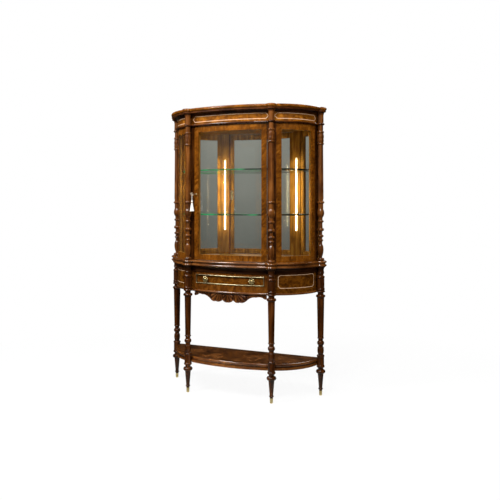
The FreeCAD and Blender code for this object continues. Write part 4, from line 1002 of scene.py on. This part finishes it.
# %% Moulded undertier
LEVEL = 0.99
LOOSE_MERGE = 1e-5
FLAT_ANGLE, EDGE_ANGLE = radians(1), radians(60)


def softened(name, node, body, slot, *materials, width, steps):
    """A copy of a solid with rounded edges, and any second material on the faces that aren't level."""
    bm = merged_copy(node, LOOSE_MERGE)
    bmesh.ops.dissolve_limit(bm, angle_limit=FLAT_ANGLE, verts=bm.verts[:], edges=bm.edges[:])
    sharp = [edge for edge in bm.edges if len(edge.link_faces) == 2 and edge.calc_face_angle() > EDGE_ANGLE]
    bmesh.ops.bevel(bm, geom=sharp, offset=width, affect="EDGES", segments=steps, profile=0.5, material=-1)
    bm.normal_update()
    second_material(bm, lambda face: len(materials) > 1 and abs(face.normal.z) < LEVEL)
    return piece(name, bm, body, slot, *materials, replaces=[node])


softened("moulded_undertier", "undertier_board", "carcass", "burl_veneer", undertier_burl, edge_walnut,
         width=0.006, steps=4)
softened("rounded_brass_bead", "drawer_brass_bead", "carcass", "brass", old_brass, width=0.0022, steps=3)

# %% [markdown]
# The room is a pale floor that keeps a soft shadow and fades into white. What the eye sees and what
# lights the cabinet are told apart by the kind of ray: the world and the floor are white to the camera,
# in polish and through glass, but give only a little light, so that the lamps shape the wood.

# %% World and floor
WHITE, AMBIENT = (1.0, 1.0, 1.0, 1.0), 0.22
PALE_FLOOR, DARK_FLOOR = (0.86, 0.86, 0.86, 1), (0.16, 0.16, 0.16, 1)
SHADOW_REACH, SHADOW_END, FLOOR_WHITE, FLOOR_SIZE = 0.9, 2.6, 0.92, 30


def seen_directly(finish):
    """1 for rays from the camera, from polish and through glass, and 0 for light that falls on things."""
    kinds = ("Is Camera Ray", "Is Glossy Ray", "Is Transmission Ray")
    camera_ray, glossy_ray, glass_ray = (finish.node("LightPath", output=kind) for kind in kinds)
    return camera_ray.math("MAXIMUM", glossy_ray).math("MAXIMUM", glass_ray)


def shell_object(name, bm, material):
    """Make a mesh of the stage, which is no part of the cabinet."""
    item = mesh_object(name, bm, material)
    return item


world = bpy.data.worlds.new("studio")
scene.world = world
air = Finish("studio", world)
strength = AMBIENT + seen_directly(air) * (1 - AMBIENT)
air.output(air.node("Background", None, {"Color": WHITE, "Strength": strength}))

ground = Finish("studio_floor")
fade = ground.fade(ground.length(ground.place()), SHADOW_REACH, SHADOW_END, FLOOR_WHITE, 1.0)
pale = ground.node("BsdfDiffuse", None, {"Color": PALE_FLOOR})
dark = ground.node("BsdfDiffuse", None, {"Color": DARK_FLOOR})
bounce = ground.node("LightPath", output="Is Diffuse Ray")
lit = ground.node("MixShader", None, {0: bounce, 1: pale, 2: dark})
bright = ground.node("Emission", None, {"Color": WHITE, "Strength": 1.0})
ground.output(ground.node("MixShader", None, {0: fade * seen_directly(ground), 1: lit, 2: bright}))
floor = bmesh.new()
bmesh.ops.create_grid(floor, x_segments=1, y_segments=1, size=FLOOR_SIZE)
shell_object("studio_floor", floor, ground.owner)
print("world and floor ready")

# %% [markdown]
# A mirror in a white room would be white, and so would the polish. A studio hangs grey cloths round the
# set, and here a closed shell does that, which only reflections see. It is grey in front, where the
# mirror looks, darker low down, to the right and under the roof, pale under the feet and dark behind.

# %% Studio screen
SCREEN_PROFILE = [(0.0, 0.003), (6.0, 0.003), (6.0, 4.2), (4.0, 5.6), (0.0, 6.2)]
SCREEN_STEPS = 48
GREEN_CAST = (0.99, 1.0, 0.89)
grey = Finish("studio_screen")
spot = grey.place()
lift = grey.axis(spot, "Z")
front = grey.fade(grey.axis(spot, "Y"), -5.2, -3.6, 1.0, 0.1)
rise = grey.fade(lift, 0.0, 3.0, 0.1, 0.37)
turn = grey.fade(grey.axis(spot, "X"), -0.8, 2.4, 1.0, 0.15)
roof = grey.fade(lift, 2.6, 3.4, 1.0, 0.06)
underfoot = grey.fade(grey.length(spot), 0.7, 1.0, 0.42, 0.0)
level = front * rise * turn * roof + underfoot
tint = grey.node("CombineColor", None, {i: level * share for i, share in enumerate(GREEN_CAST)})
grey.output(grey.node("Emission", None, {"Color": tint, "Strength": 1.0}))
screen_mesh = bmesh.new()
spin_profile(screen_mesh, SCREEN_PROFILE, SCREEN_STEPS)
screen = shell_object("studio_screen", screen_mesh, grey.owner)
for ray in ("camera", "diffuse", "transmission", "shadow"):
    setattr(screen, f"visible_{ray}", False)
print("studio screen ready")

# %% [markdown]
# Soft lamps stand where a photographer would put them: a key light to the left, a smaller one above the
# front, a broad fill to the right, one behind and a low one for the feet. The fill and the low lamp are
# hidden from reflections, where they would show as white patches.


# %% Softboxes
def softbox(name, place, aim, size, watts, reflected=True):
    lamp = bpy.data.lights.new(name, "AREA")
    lamp.shape = "RECTANGLE"
    lamp.size, lamp.size_y = size
    lamp.energy = watts
    item = new_object(name, lamp)
    item.location = place
    item.rotation_euler = (Vector(aim) - Vector(place)).to_track_quat("-Z", "Y").to_euler()
    item.visible_glossy = reflected
    return item


LOW_BEAM = radians(16)
softbox("key_softbox", place=(-1.8, -2.3, 3.7), aim=(0, 0, 1.2), size=(0.7, 1.4), watts=150)
softbox("strip_softbox", place=(0.5, -2.4, 3.7), aim=(0, 0, 1.1), size=(1.0, 0.8), watts=100)
softbox("fill_softbox", place=(3.0, -1.8, 3.5), aim=(0, 0, 1.1), size=(2.2, 2.2), watts=90, reflected=False)
softbox("back_softbox", place=(0.5, 3.0, 3.9), aim=(0, 0, 1.2), size=(2.0, 1.2), watts=60)
low_lamp = softbox("foot_softbox", place=(-1.1, -2.6, 0.3), aim=(0, 0, 0.06), size=(0.5, 0.2), watts=1.0,
                   reflected=False)
low_lamp.data.spread = LOW_BEAM
print("softboxes ready")

# %% [markdown]
# The chips are too small to light the inside without noise, so hidden lamps do it: one behind each strip
# for its post, one for the light that the mirror sends back, and one towards the back corner.

# %% Light of the strips
WARM = (1.0, 0.8, 0.4)
STRIP_X, STRIP_Y, LAMP_GAP = 0.297, -0.071, 0.06
MIRROR_X, MIRROR_Y, MIRROR_SIZE = 0.2, 0.17, (0.25, 0.5)
FORWARD = Vector((0, -1, 0))
strip_middle = (STRIP_LOW + STRIP_HIGH) / 2
strip_size = (0.02, STRIP_HIGH - STRIP_LOW)


def inner_light(name, place, aim, size, watts):
    """A warm lamp that no eye and no glass sees."""
    item = softbox(name, place, aim, size, watts, reflected=False)
    item.data.color = WARM
    item.visible_camera = False
    item.visible_transmission = False


for side in (-1, 1):
    strip = Vector((side * STRIP_X, STRIP_Y, strip_middle))
    behind = strip + Vector((-side * sin(FRONT_ANGLE), cos(FRONT_ANGLE), 0)) * LAMP_GAP
    corner = (side * COLUMNS["back_right"][0], COLUMNS["back_right"][1], strip_middle)
    mirror = Vector((side * MIRROR_X, MIRROR_Y, strip_middle))
    inner_light("strip_light", behind, strip, strip_size, watts=0.62)
    inner_light("mirror_light", mirror, mirror + FORWARD, MIRROR_SIZE, watts=1.2)
    inner_light("corner_light", behind, corner, strip_size, watts=1.7)
print("strip lights ready")
